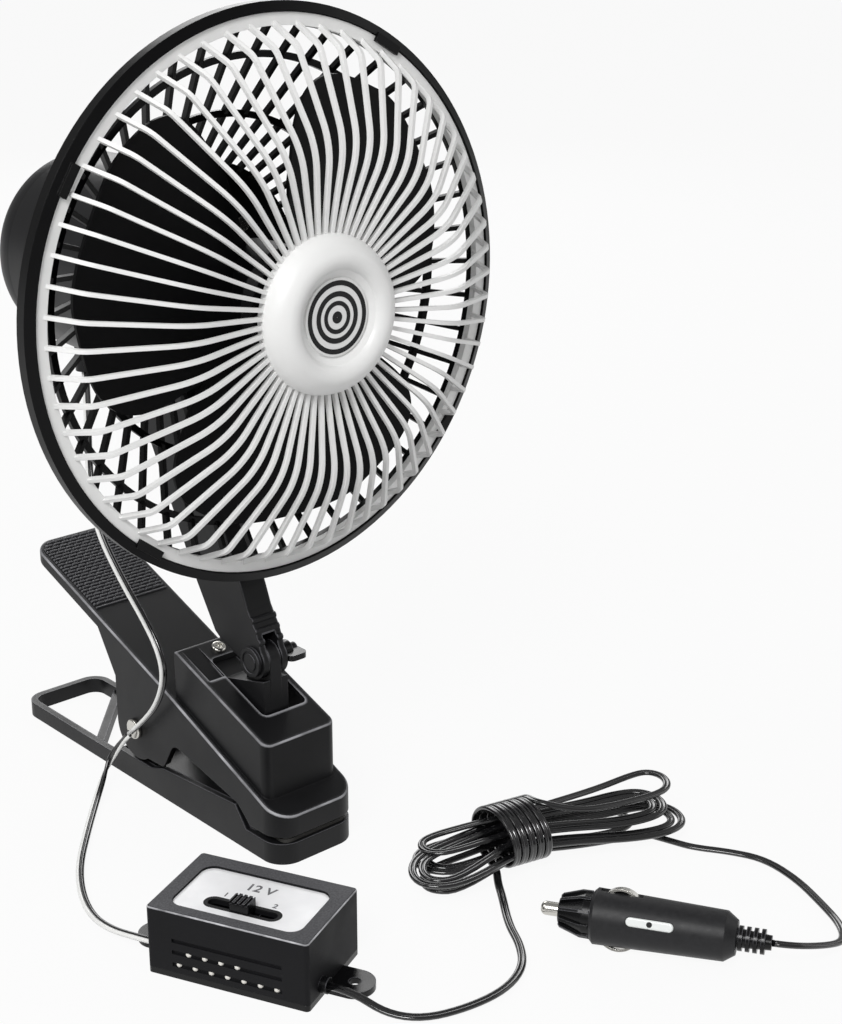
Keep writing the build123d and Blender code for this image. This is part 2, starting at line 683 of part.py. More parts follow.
# Lower lever
LOWER_INNER_X = CLIP_HALF_WIDTH - SKIRT_THICK
rib_half_x = CLIP_HALF_WIDTH - LOWER_FRAME_WALL / 2
with BuildPart() as lower_jaw:
    with BuildSketch(Plane.YZ):
        Polygon(
            (LOWER_REAR_Y, 0),
            (LOWER_REAR_Y, LOWER_HANDLE_Z),
            (LOWER_RELIEF_REAR_Y, LOWER_HANDLE_Z),
            (SKIRT_REAR_Y, LOWER_RELIEF_Z),
            (LOWER_RELIEF_FRONT_Y, LOWER_RELIEF_Z),
            (LOWER_WALL_REAR_Y, LOWER_WALL_REAR_Z),
            (LOWER_WALL_FRONT_Y, LOWER_WALL_FRONT_Z),
            (LOWER_STEP_Y, LOWER_LIP_Z),
            (NOSE_Y, LOWER_LIP_Z),
            (NOSE_Y, 0),
            align=None,
        )
    extrude(amount=CLIP_HALF_WIDTH, both=True)
    with BuildSketch(Plane.XY.offset(LOWER_FLOOR)):
        with Locations((0, (LOWER_FRAME_FRONT_Y + LIP_REAR_Y) / 2)):
            Rectangle(2 * LOWER_INNER_X, LOWER_FRAME_FRONT_Y - LIP_REAR_Y)
    extrude(amount=LARGE, mode=Mode.SUBTRACT)
    with BuildSketch(Plane.XY.offset(-OVERRUN)):
        with Locations((0, (LOWER_FRAME_FRONT_Y + LOWER_FRAME_WALL + LOWER_REAR_Y - LOWER_FRAME_WALL) / 2)):
            RectangleRounded(
                2 * (CLIP_HALF_WIDTH - LOWER_FRAME_WALL),
                LOWER_REAR_Y - LOWER_FRAME_FRONT_Y - 2 * LOWER_FRAME_WALL,
                REAR_CORNER_R - LOWER_FRAME_WALL,
            )
    extrude(amount=LARGE, mode=Mode.SUBTRACT)
    with BuildSketch(Plane.XY):
        Polygon(
            *band(((-rib_half_x, RIB_FROM_Y), (rib_half_x, RIB_TO_Y)), RIB_WIDE),
            align=None,
        )
    extrude(amount=RIB_TALL)
    with BuildSketch(Plane.XY) as lower_plan:
        with Locations((0, (LOWER_REAR_Y + NOSE_Y) / 2)):
            Rectangle(2 * CLIP_HALF_WIDTH, LOWER_REAR_Y - NOSE_Y)
        fillet(lower_plan.vertices().group_by(Axis.Y)[0], NOSE_CORNER_R)
        fillet(lower_plan.vertices().group_by(Axis.Y)[-1], REAR_CORNER_R)
    extrude(amount=LARGE, mode=Mode.INTERSECT)
    for side in (1, -1):
        with BuildSketch(Plane.YZ.offset(side * EAR_INNER_X)):
            Polygon(
                (-EAR_FOOT_Y, LOWER_FLOOR / 2),
                (EAR_FOOT_Y, LOWER_FLOOR / 2),
                (EAR_R, PIN_Z),
                (-EAR_R, PIN_Z),
                align=None,
            )
            with Locations((0, PIN_Z)):
                Circle(EAR_R)
                Circle(PIN_R, mode=Mode.SUBTRACT)
        extrude(amount=side * (EAR_OUTER_X - EAR_INNER_X))
write(lower_jaw.part, "lower_jaw")

with BuildPart() as hinge_pin:
    with BuildSketch(Plane.YZ):
        with Locations((0, PIN_Z)):
            Circle(PIN_R)
    extrude(amount=CLIP_HALF_WIDTH + PART_GAP, both=True)
    for side in (1, -1):
        with BuildSketch(Plane.YZ.offset(side * (CLIP_HALF_WIDTH + PART_GAP))):
            with Locations((0, PIN_Z)):
                Circle(PIN_HEAD_R)
        extrude(amount=side * PIN_HEAD_THICK)
    fillet(hinge_pin.faces().sort_by(Axis.X)[0].edges(), PIN_HEAD_THICK / 2)
    fillet(hinge_pin.faces().sort_by(Axis.X)[-1].edges(), PIN_HEAD_THICK / 2)
write(hinge_pin.part, "hinge_pin")

# Jaw pads
for pad_name, pad_z, pad_thick in (
    ("lower_pad", LOWER_LIP_Z, LOWER_PAD_THICK),
    ("upper_pad", UPPER_LIP_Z - UPPER_PAD_THICK, UPPER_PAD_THICK),
):
    with BuildPart() as pad:
        with BuildSketch(Plane.XY.offset(pad_z)):
            with Locations((0, (PAD_FRONT_Y + PAD_REAR_Y) / 2)):
                RectangleRounded(2 * PAD_HALF_X, PAD_REAR_Y - PAD_FRONT_Y, PAD_CORNER_R)
        extrude(amount=pad_thick)
    write(pad.part, pad_name)


def arc_chain(points, tangents):
    """Edges of a smooth chain: a pair of tangent arcs between each two neighbouring points."""
    edges = []
    for a, b, ta, tb in zip(points, points[1:], tangents, tangents[1:]):
        ta, tb = ta.normalized(), tb.normalized()
        gap = b - a
        fall = 2 * (1 - ta.dot(tb))
        lean = gap.dot(ta + tb)
        reach = gap.length**2
        if fall < 1e-9:
            reach_len = reach / (2 * lean)
        else:
            reach_len = (-lean + sqrt(lean**2 + fall * reach)) / fall
        middle = (a + ta * reach_len + b - tb * reach_len) * 0.5
        for start, end, start_tangent in ((a, middle, ta), (middle, b, None)):
            if start_tangent is None:
                chord = end - start
                start_tangent = chord * (2 * chord.dot(tb) / chord.length**2) - tb
            if start_tangent.normalized().cross((end - start).normalized()).length < 1e-6:
                edges.append(Edge.make_line(start, end))
            else:
                edges.append(Edge.make_tangent_arc(start, start_tangent, end))
    return edges


def wire_sweep(points, tangents, radius, sides=0):
    """A wire or cord swept along a chain of arcs, round or with flat sides."""
    path = Wire(arc_chain(points, tangents))
    with BuildPart() as tube:
        with BuildSketch(Plane(origin=points[0], z_dir=tangents[0])):
            if sides:
                RegularPolygon(radius, sides)
            else:
                Circle(radius)
        sweep(path=path)
    return tube.part, path


# Torsion spring: coils about the pin, with a straight leg against each lever
def tangent_turn(y, z):
    """Angle on the coil where a straight leg from the point (y, z) runs on to it."""
    return degrees(atan2(z - PIN_Z, y) + acos(SPRING_COIL_R / hypot(y, z - PIN_Z)))


upper_leg_z = slope(UPPER_REAR, UPPER_BEND, SPRING_UPPER_LEG_Y) - PLATE_THICK - SPRING_WIRE_R - PART_GAP
lower_leg_z = LOWER_FLOOR
for i in range(8):
    coil_from = degrees(atan2(lower_leg_z - PIN_Z, SPRING_LOWER_LEG_Y)
                        - acos(SPRING_COIL_R / hypot(SPRING_LOWER_LEG_Y, lower_leg_z - PIN_Z)))
    lower_leg_z = LOWER_FLOOR + SPRING_WIRE_R * abs(sin(radians(coil_from)))
coil_to = tangent_turn(SPRING_UPPER_LEG_Y, upper_leg_z) - 360 * (SPRING_TURNS + 1)
coil_steps = 4 * SPRING_TURNS + 2
coil_points = [Vector(-SPRING_HALF_X, SPRING_LOWER_LEG_Y, lower_leg_z)]
coil_tangents = []
for i in range(coil_steps + 1):
    along = i / coil_steps
    turn = radians(coil_from + (coil_to - coil_from) * along)
    rise = 2 * SPRING_HALF_X / radians(coil_from - coil_to)
    if i in (0, coil_steps):
        rise = 0
    coil_x = -SPRING_HALF_X + 2 * SPRING_HALF_X * along
    coil_points.append(Vector(coil_x, SPRING_COIL_R * cos(turn), PIN_Z + SPRING_COIL_R * sin(turn)))
    coil_tangents.append(Vector(rise, SPRING_COIL_R * sin(turn), -SPRING_COIL_R * cos(turn)))
coil_points.append(Vector(SPRING_HALF_X, SPRING_UPPER_LEG_Y, upper_leg_z))
coil_tangents = [coil_tangents[0]] + coil_tangents + [coil_tangents[-1]]
spring_part, spring_path = wire_sweep(coil_points, coil_tangents, SPRING_WIRE_R)
write(spring_part, "torsion_spring")
spring_share = spring_part.volume / (pi * SPRING_WIRE_R**2 * spring_path.length)
print("torsion_spring volume share", round(spring_share, 4))

# Post in the housing slot
def house_inner(y):
    """Height of the underside of the housing's sloping top."""
    return slope(HOUSE_REAR, HOUSE_FRONT, y) - house_drop


with BuildPart() as pivot_post:
    with BuildSketch(Plane.YZ):
        Polygon(
            (POST_FRONT_Y, house_inner(POST_FRONT_Y) - FLANGE_THICK / 2),
            (POST_FRONT_Y, POST_FRONT_Z),
            (POST_SHOULDER_REAR_Y, POST_SHOULDER_Z),
            (POST_REAR_Y, house_inner(POST_REAR_Y)),
            (POST_REAR_Y, house_inner(POST_REAR_Y) - FLANGE_THICK / 2),
            align=None,
        )
    extrude(amount=POST_HALF_X, both=True)
    with BuildSketch(Plane.YZ):
        with Locations((PIVOT_Y, PIVOT_Z)):
            Circle(SHOULDER_R)
    extrude(amount=POST_HALF_X + OVERRUN, both=True, mode=Mode.SUBTRACT)
    with BuildSketch(Plane.YZ.offset(FLANGE_LEFT_X)):
        Polygon(
            (FLANGE_REAR_Y, house_inner(FLANGE_REAR_Y)),
            (FLANGE_FRONT_Y, house_inner(FLANGE_FRONT_Y)),
            (FLANGE_FRONT_Y, house_inner(FLANGE_FRONT_Y) - FLANGE_THICK),
            (FLANGE_REAR_Y, house_inner(FLANGE_REAR_Y) - FLANGE_THICK),
            align=None,
        )
    extrude(amount=POST_HALF_X - FLANGE_LEFT_X)
    with BuildSketch(Plane.YZ):
        with Locations((PIVOT_Y, PIVOT_Z)):
            Circle(TONGUE_R)
        Polygon(
            (PIVOT_Y - TONGUE_R, PIVOT_Z),
            (PIVOT_Y + TONGUE_R, PIVOT_Z),
            (POST_SHOULDER_REAR_Y, POST_SHOULDER_Z),
            (POST_SHOULDER_REAR_Y, house_inner(POST_SHOULDER_REAR_Y)),
            (POST_FRONT_Y, house_inner(POST_FRONT_Y)),
            align=None,
        )
    extrude(amount=TONGUE_HALF_X, both=True)
    with BuildSketch(Plane.YZ):
        with Locations((PIVOT_Y, PIVOT_Z)):
            Circle(BOLT_R + RUN_FIT)
    extrude(amount=POST_HALF_X + OVERRUN, both=True, mode=Mode.SUBTRACT)
    with BuildSketch(HOUSE_TOP_PLANE):
        Circle(POST_SCREW_R)
    extrude(amount=-POST_SCREW_LONG - OVERRUN, mode=Mode.SUBTRACT)
write(pivot_post.part, "pivot_post")

with BuildPart() as post_screw:
    with BuildSketch(HOUSE_TOP_PLANE):
        Circle(POST_SCREW_HEAD_R)
    extrude(amount=POST_SCREW_HEAD_TALL)
    fillet(post_screw.edges().sort_by(Axis.Z)[-1], POST_SCREW_HEAD_TALL * SCREW_DOME_SHARE)
    with BuildSketch(HOUSE_TOP_PLANE):
        Circle(POST_SCREW_R)
    extrude(amount=-POST_SCREW_LONG)
    with BuildSketch(HOUSE_TOP_PLANE.offset(POST_SCREW_HEAD_TALL - CROSS_DEEP)):
        Rectangle(CROSS_LONG, CROSS_WIDE)
        Rectangle(CROSS_WIDE, CROSS_LONG)
    extrude(amount=CROSS_DEEP + OVERRUN, mode=Mode.SUBTRACT)
write(post_screw.part, "post_screw")

# Motor cover, first as the full body that the neck is shaped to
COVER_OUTLINE = (
    (0, COVER_FRONT_A),
    (COVER_R, COVER_FRONT_A),
    (COVER_TAIL_R, COVER_TAIL_A),
)


def tail_middle(inset):
    """Middle point of the rounded tail of the motor cover, drawn in by a skin."""
    share = sqrt(0.5)
    return (
        COVER_END_R + (COVER_TAIL_R - COVER_END_R - inset) * share,
        COVER_TAIL_A - (COVER_TAIL_A - COVER_END_A - inset) * share,
    )


with BuildPart() as cover_body:
    with BuildSketch(Plane.XZ):
        with BuildLine():
            Polyline(*COVER_OUTLINE)
            ThreePointArc((COVER_TAIL_R, COVER_TAIL_A), tail_middle(0), (COVER_END_R, COVER_END_A))
            Polyline((COVER_END_R, COVER_END_A), (0, COVER_END_A), (0, COVER_FRONT_A))
        make_face()
    revolve(axis=Axis.Z)

with BuildPart() as motor_cover:
    add(cover_body.part)
    with BuildSketch(Plane.XZ):
        with BuildLine():
            Polyline(
                (0, COVER_FRONT_A + OVERRUN),
                (COVER_R - COVER_SKIN, COVER_FRONT_A + OVERRUN),
                (COVER_TAIL_R - COVER_SKIN, COVER_TAIL_A),
            )
            ThreePointArc(
                (COVER_TAIL_R - COVER_SKIN, COVER_TAIL_A),
                tail_middle(COVER_SKIN),
                (COVER_END_R, COVER_END_A + COVER_SKIN),
            )
            Polyline(
                (COVER_END_R, COVER_END_A + COVER_SKIN),
                (0, COVER_END_A + COVER_SKIN),
                (0, COVER_FRONT_A + OVERRUN),
            )
        make_face()
    revolve(axis=Axis.Z, mode=Mode.SUBTRACT)
    with BuildSketch(Plane.XY.offset(COVER_END_A - OVERRUN)):
        with PolarLocations((VENT_FROM_R + VENT_TO_R) / 2, VENT_COUNT):
            SlotOverall(VENT_TO_R - VENT_FROM_R, VENT_WIDE)
    extrude(amount=OVERRUN + COVER_SKIN + OVERRUN, mode=Mode.SUBTRACT)
    gland_local = HEAD_PLANE.to_local_coords(Vector(GLAND_X, GLAND_Y, HEAD_AXIS_Z))
    with BuildSketch(Plane(origin=(gland_local.X, 0, gland_local.Z), x_dir=(1, 0, 0), z_dir=(0, -1, 0))):
        Circle(GLAND_R)
    extrude(amount=LARGE, mode=Mode.SUBTRACT)
write(motor_cover.part, "motor_cover", HEAD_PLANE)

# Neck
with BuildPart() as neck:
    with BuildSketch(Plane.YZ):
        Polygon(*NECK_FRONT, *NECK_REAR, (PIVOT_Y, PIVOT_Z), align=None)
        with Locations((PIVOT_Y, PIVOT_Z)):
            Circle(FORK_R)
        for bump_z in NECK_BUMP_ZS:
            bump_y = slope(NECK_FRONT[0][::-1], NECK_FRONT[2][::-1], bump_z)
            with Locations((bump_y, bump_z)):
                Circle(NECK_BUMP_R)
    extrude(amount=NECK_HALF_X, both=True)
    with BuildSketch(Plane.YZ):
        with Locations((PIVOT_Y, PIVOT_Z)):
            Circle(FORK_SLOT_R)
    extrude(amount=FORK_HALF_GAP, both=True, mode=Mode.SUBTRACT)
    with BuildSketch(Plane.YZ):
        with Locations((PIVOT_Y, PIVOT_Z)):
            Circle(BOLT_R)
    extrude(amount=NECK_HALF_X + OVERRUN, both=True, mode=Mode.SUBTRACT)
    add(cover_body.part.moved(HEAD_PLANE.location), mode=Mode.SUBTRACT)
write(neck.part.solids().sort_by(Axis.Z)[0], "neck")

with BuildPart() as tilt_bolt:
    with BuildSketch(Plane.YZ.offset(-NECK_HALF_X)):
        with Locations((PIVOT_Y, PIVOT_Z)):
            Circle(BOLT_HEAD_R)
    extrude(amount=-BOLT_HEAD_THICK)
    with BuildSketch(Plane.YZ.offset(-NECK_HALF_X - BOLT_HEAD_THICK)):
        with Locations((PIVOT_Y, PIVOT_Z)):
            Circle(BOLT_RING_R)
            Circle(BOLT_RING_INNER_R, mode=Mode.SUBTRACT)
    extrude(amount=BOLT_RING_DEEP, mode=Mode.SUBTRACT)
    with BuildSketch(Plane.YZ.offset(-NECK_HALF_X)):
        with Locations((PIVOT_Y, PIVOT_Z)):
            Circle(BOLT_R)
    extrude(amount=BOLT_END_X + NECK_HALF_X)
write(tilt_bolt.part, "tilt_bolt")

with BuildPart() as friction_washers:
    for side in (1, -1):
        with BuildSketch(Plane.YZ.offset(side * FORK_HALF_GAP)):
            with Locations((PIVOT_Y, PIVOT_Z)):
                Circle(WASHER_R)
                Circle(BOLT_R, mode=Mode.SUBTRACT)
        extrude(amount=-side * (FORK_HALF_GAP - TONGUE_HALF_X - RUN_FIT))
write(friction_washers.part, "friction_washers")

with BuildPart() as wing_nut:
    with BuildSketch(Plane.YZ.offset(NUT_FACE_X)):
        with Locations((PIVOT_Y, PIVOT_Z)):
            Circle(NUT_HUB_R)
    extrude(amount=NUT_HUB_LONG)
    with BuildSketch(Plane.XY.offset(PIVOT_Z - NUT_WING_THICK / 2)):
        with Locations((NUT_FACE_X + NUT_WING_TALL / 2, PIVOT_Y)):
            RectangleRounded(NUT_WING_TALL, 2 * NUT_WING_HALF, NUT_WING_R)
    extrude(amount=NUT_WING_THICK)
    with BuildSketch(Plane.YZ.offset(NUT_FACE_X)):
        with Locations((PIVOT_Y, PIVOT_Z)):
            Circle(BOLT_R + RUN_FIT)
    extrude(amount=LARGE, mode=Mode.SUBTRACT)
write(wing_nut.part, "wing_nut")

# Front grille: radial ribs with two elbows, a flange ring and a crowned hub
rib_outline = band(GRILLE_PATH, GRILLE_RIB_THICK)
rib_front, rib_rear = rib_outline[:len(GRILLE_PATH)], rib_outline[len(GRILLE_PATH):]
with BuildPart() as grille_rib:
    with BuildSketch(Plane.XZ):
        with BuildLine():
            FilletPolyline(
                *rib_front,
                radius=[GRILLE_ELBOW_R + GRILLE_RIB_THICK / 2, GRILLE_KNEE_R + GRILLE_RIB_THICK / 2],
            )
            Line(rib_front[-1], rib_rear[0])
            FilletPolyline(
                *rib_rear,
                radius=[GRILLE_KNEE_R - GRILLE_RIB_THICK / 2, GRILLE_ELBOW_R - GRILLE_RIB_THICK / 2],
            )
            Line(rib_rear[-1], rib_front[0])
        make_face()
    extrude(amount=GRILLE_RIB_WIDE / 2, both=True)

with BuildPart() as front_grille:
    with PolarLocations(0, GRILLE_RIBS):
        add(grille_rib.part)
    with BuildSketch(Plane.XZ):
        with BuildLine():
            Polyline(
                (0, HUB_DISH_A - HUB_SKIN),
                (0, HUB_DISH_A),
                (HUB_DISH_R, HUB_DISH_A),
                (HUB_LIP_R, HUB_LIP_A),
            )
            ThreePointArc((HUB_LIP_R, HUB_LIP_A), (HUB_TOP_R, HUB_TOP_A), (HUB_CROWN_R, HUB_CROWN_A))
            ThreePointArc((HUB_CROWN_R, HUB_CROWN_A), (HUB_SHOULDER_R, HUB_SHOULDER_A), (HUB_R, HUB_EDGE_A))
            Polyline(
                (HUB_R, HUB_EDGE_A),
                (HUB_R, HUB_SKIRT_A),
                (HUB_R - HUB_SKIN, HUB_SKIRT_A),
                (HUB_R - HUB_SKIN, HUB_EDGE_A - HUB_SKIN / 2),
            )
            ThreePointArc(
                (HUB_R - HUB_SKIN, HUB_EDGE_A - HUB_SKIN / 2),
                (HUB_CROWN_R, HUB_CROWN_A - 2 * HUB_SKIN),
                (HUB_TOP_R, HUB_TOP_A - HUB_SKIN),
            )
            Polyline(
                (HUB_TOP_R, HUB_TOP_A - HUB_SKIN),
                (HUB_DISH_R, HUB_DISH_A - HUB_SKIN),
                (0, HUB_DISH_A - HUB_SKIN),
            )
        make_face()
        with Locations(((RING_INNER_R + RING_OUTER_R) / 2, SEAT_A / 2)):
            Rectangle(RING_OUTER_R - RING_INNER_R, -SEAT_A)
    revolve(axis=Axis.Z)
write(front_grille.part, "front_grille", HEAD_PLANE)

with BuildPart() as hub_badge:
    with BuildSketch(Plane.XY.offset(HUB_DISH_A)):
        Circle(BADGE_R)
    extrude(amount=BADGE_THICK)
write(hub_badge.part, "hub_badge", HEAD_PLANE)

# Rear guard: rim band with its seat and lugs, ribs on a cone, two rings and the motor flange
with BuildPart() as guard_rib:
    with BuildSketch(Plane.XZ):
        Polygon(*band(GUARD_PATH, GUARD_RIB_THICK), align=None)
    extrude(amount=GUARD_RIB_WIDE / 2, both=True)

with BuildPart() as rim_lug:
    with BuildSketch(Plane.XY.offset(LUG_A)):
        with Locations(((LUG_INNER_R + RIM_INNER_R) / 2, 0)):
            Rectangle(RIM_INNER_R - LUG_INNER_R + OVERRUN, LUG_WIDE)
    extrude(amount=LUG_THICK)

with BuildPart() as rear_guard:
    with PolarLocations(0, GUARD_RIBS):
        add(guard_rib.part)
    with BuildSketch(Plane.XZ):
        Polygon(
            (RIM_INNER_R, RIM_FRONT_A),
            (RIM_R, RIM_FRONT_A - (RIM_R - RIM_INNER_R) / 2),
            (RIM_R, RIM_REAR_A),
            (SEAT_INNER_R, SEAT_A - SEAT_THICK),
            (SEAT_INNER_R, SEAT_A),
            (RIM_INNER_R, SEAT_A),
            align=None,
        )
        with Locations((GUARD_RING_R, GUARD_RING_A), (GUARD_RING2_R, GUARD_RING2_A)):
            Rectangle(2 * GUARD_RING_HALF, 2 * GUARD_RING_HALF)
        with Locations(((FLANGE_INNER_R + FLANGE_OUTER_R) / 2, (FLANGE_FRONT_A + FLANGE_REAR_A) / 2)):
            Rectangle(FLANGE_OUTER_R - FLANGE_INNER_R, FLANGE_FRONT_A - FLANGE_REAR_A)
    revolve(axis=Axis.Z)
    for lug_angle in LUG_ANGLES:
        with Locations(Location((0, 0, 0), (0, 0, lug_angle))):
            add(rim_lug.part)
    with BuildSketch(Plane.XY.offset(FLANGE_REAR_A - OVERRUN)):
        with PolarLocations(GUARD_SCREW_AT_R, GUARD_SCREW_COUNT, start_angle=GUARD_SCREW_FROM_DEG):
            Circle(GUARD_SCREW_R)
    extrude(amount=FLANGE_FRONT_A - FLANGE_REAR_A + 2 * OVERRUN, mode=Mode.SUBTRACT)
write(rear_guard.part, "rear_guard", HEAD_PLANE)

# Motor
with BuildPart() as motor_plate:
    with BuildSketch(Plane.XY.offset(PLATE_REAR_A)):
        Circle(PLATE_R)
    extrude(amount=FLANGE_REAR_A - PLATE_REAR_A)
    with BuildSketch(Plane.XY.offset(CAN_FRONT_A)):
        with PolarLocations(STANDOFF_AT_R, STANDOFF_COUNT):
            Circle(STANDOFF_R)
    extrude(amount=PLATE_REAR_A - CAN_FRONT_A)
    with BuildSketch(Plane.XY.offset(PLATE_REAR_A - OVERRUN)):
        Circle(PLATE_BORE_R)
        with PolarLocations(GUARD_SCREW_AT_R, GUARD_SCREW_COUNT, start_angle=GUARD_SCREW_FROM_DEG):
            Circle(GUARD_SCREW_R)
    extrude(amount=FLANGE_REAR_A - PLATE_REAR_A + 2 * OVERRUN, mode=Mode.SUBTRACT)
write(motor_plate.part, "motor_plate", HEAD_PLANE)

with BuildPart() as guard_screws:
    with BuildSketch(Plane.XY.offset(FLANGE_FRONT_A)):
        with PolarLocations(GUARD_SCREW_AT_R, GUARD_SCREW_COUNT, start_angle=GUARD_SCREW_FROM_DEG):
            Circle(GUARD_SCREW_HEAD_R)
    extrude(amount=GUARD_SCREW_HEAD_TALL)
    with BuildSketch(Plane.XY.offset(PLATE_REAR_A)):
        with PolarLocations(GUARD_SCREW_AT_R, GUARD_SCREW_COUNT, start_angle=GUARD_SCREW_FROM_DEG):
            Circle(GUARD_SCREW_R)
    extrude(amount=FLANGE_FRONT_A - PLATE_REAR_A)
write(guard_screws.part, "guard_screws", HEAD_PLANE)

with BuildPart() as motor_can:
    with BuildSketch(Plane.XZ):
        Polygon(
            (BUSH_R, CAN_FRONT_A),
            (CAN_R, CAN_FRONT_A),
            (CAN_R, CAN_REAR_A),
            (BUSH_R, CAN_REAR_A),
            (BUSH_R, CAN_REAR_A + CAN_SKIN),
            (CAN_R - CAN_SKIN, CAN_REAR_A + CAN_SKIN),
            (CAN_R - CAN_SKIN, CAN_FRONT_A - CAN_SKIN),
            (BUSH_R, CAN_FRONT_A - CAN_SKIN),
            align=None,
        )
    revolve(axis=Axis.Z)
write(motor_can.part, "motor_can", HEAD_PLANE)

with BuildPart() as motor_bushes:
    with BuildSketch(Plane.XZ):
        with Locations(
            ((BUSH_R + SHAFT_R + RUN_FIT) / 2, CAN_FRONT_A - CAN_SKIN / 2),
            ((BUSH_R + SHAFT_R + RUN_FIT) / 2, CAN_REAR_A + CAN_SKIN / 2),
        ):
            Rectangle(BUSH_R - SHAFT_R - RUN_FIT, BUSH_LONG)
    revolve(axis=Axis.Z)
write(motor_bushes.part, "motor_bushes", HEAD_PLANE)

with BuildPart() as motor_shaft:
    with BuildSketch(Plane.XZ):
        Polygon(
            (0, SHAFT_FRONT_A),
            (SHAFT_R, SHAFT_FRONT_A),
            (SHAFT_R, CAN_FRONT_A - ROTOR_GAP_A),
            (ROTOR_R, CAN_FRONT_A - ROTOR_GAP_A),
            (ROTOR_R, CAN_REAR_A + ROTOR_GAP_A),
            (SHAFT_R, CAN_REAR_A + ROTOR_GAP_A),
            (SHAFT_R, CAN_REAR_A - BUSH_LONG / 2),
            (0, CAN_REAR_A - BUSH_LONG / 2),
            align=None,
        )
    revolve(axis=Axis.Z)
write(motor_shaft.part, "motor_shaft", HEAD_PLANE)

# Fan: cupped hub and broad helical blades
with BuildPart() as fan_blade_one:
    for angle, reach_share in zip(BLADE_ANGLES, BLADE_REACH_SHARES):
        reach = BLADE_TIP_R * reach_share
        spoke = radians(BLADE_CENTRE_DEG + angle)
        with BuildSketch(
            Plane(
                origin=(0, 0, BLADE_MID_A + BLADE_RISE_PER_DEG * angle),
                x_dir=(cos(spoke), sin(spoke), 0),
                z_dir=(-sin(spoke), cos(spoke), 0),
            )
        ):
            with Locations(((BLADE_ROOT_R + reach) / 2, 0)):
                Rectangle(reach - BLADE_ROOT_R, BLADE_THICK)
    loft()

with BuildPart() as fan_blade:
    with BuildSketch(Plane.XZ):
        Polygon(
            (SHAFT_R, FAN_HUB_FRONT_A),
            (FAN_HUB_R - FAN_HUB_EDGE_R, FAN_HUB_FRONT_A),
            (FAN_HUB_R, FAN_HUB_FRONT_A - FAN_HUB_EDGE_R),
            (FAN_HUB_R, FAN_HUB_REAR_A),
            (FAN_HUB_R - FAN_HUB_SKIN, FAN_HUB_REAR_A),
            (FAN_HUB_R - FAN_HUB_SKIN, FAN_HUB_FRONT_A - FAN_HUB_EDGE_R),
            (FAN_BOSS_R, FAN_HUB_FRONT_A - FAN_HUB_EDGE_R),
            (FAN_BOSS_R, FAN_BOSS_REAR_A),
            (SHAFT_R, FAN_BOSS_REAR_A),
            align=None,
        )
    revolve(axis=Axis.Z)
    with PolarLocations(0, BLADE_COUNT):
        add(fan_blade_one.part)
    with BuildSketch(Plane.XY.offset(FAN_HUB_REAR_A)):
        Circle(FAN_HUB_R - FAN_HUB_SKIN)
        Circle(FAN_BOSS_R, mode=Mode.SUBTRACT)
    extrude(amount=FAN_HUB_FRONT_A - FAN_HUB_EDGE_R - FAN_HUB_REAR_A, mode=Mode.SUBTRACT)
write(fan_blade.part, "fan_blade", HEAD_PLANE)

with BuildPart() as blade_nut:
    with BuildSketch(Plane.XY.offset(FAN_HUB_FRONT_A)):
        Circle(BLADE_NUT_R)
    extrude(amount=BLADE_NUT_TALL)
    fillet(blade_nut.edges().sort_by(Axis.Z)[-1], BLADE_NUT_R * NUT_DOME_SHARE)
    with BuildSketch(Plane.XY.offset(FAN_HUB_FRONT_A)):
        Circle(SHAFT_R)
    extrude(amount=SHAFT_FRONT_A - FAN_HUB_FRONT_A, mode=Mode.SUBTRACT)
write(blade_nut.part, "blade_nut", HEAD_PLANE)

# Cord gland under the motor cover
with BuildPart() as cord_gland:
    with BuildSketch(Plane.XY.offset(GLAND_BOTTOM_Z)):
        with Locations((GLAND_X, GLAND_Y)):
            Circle(GLAND_R)
    extrude(amount=GLAND_TOP_Z - GLAND_BOTTOM_Z)
write(cord_gland.part, "cord_gland")

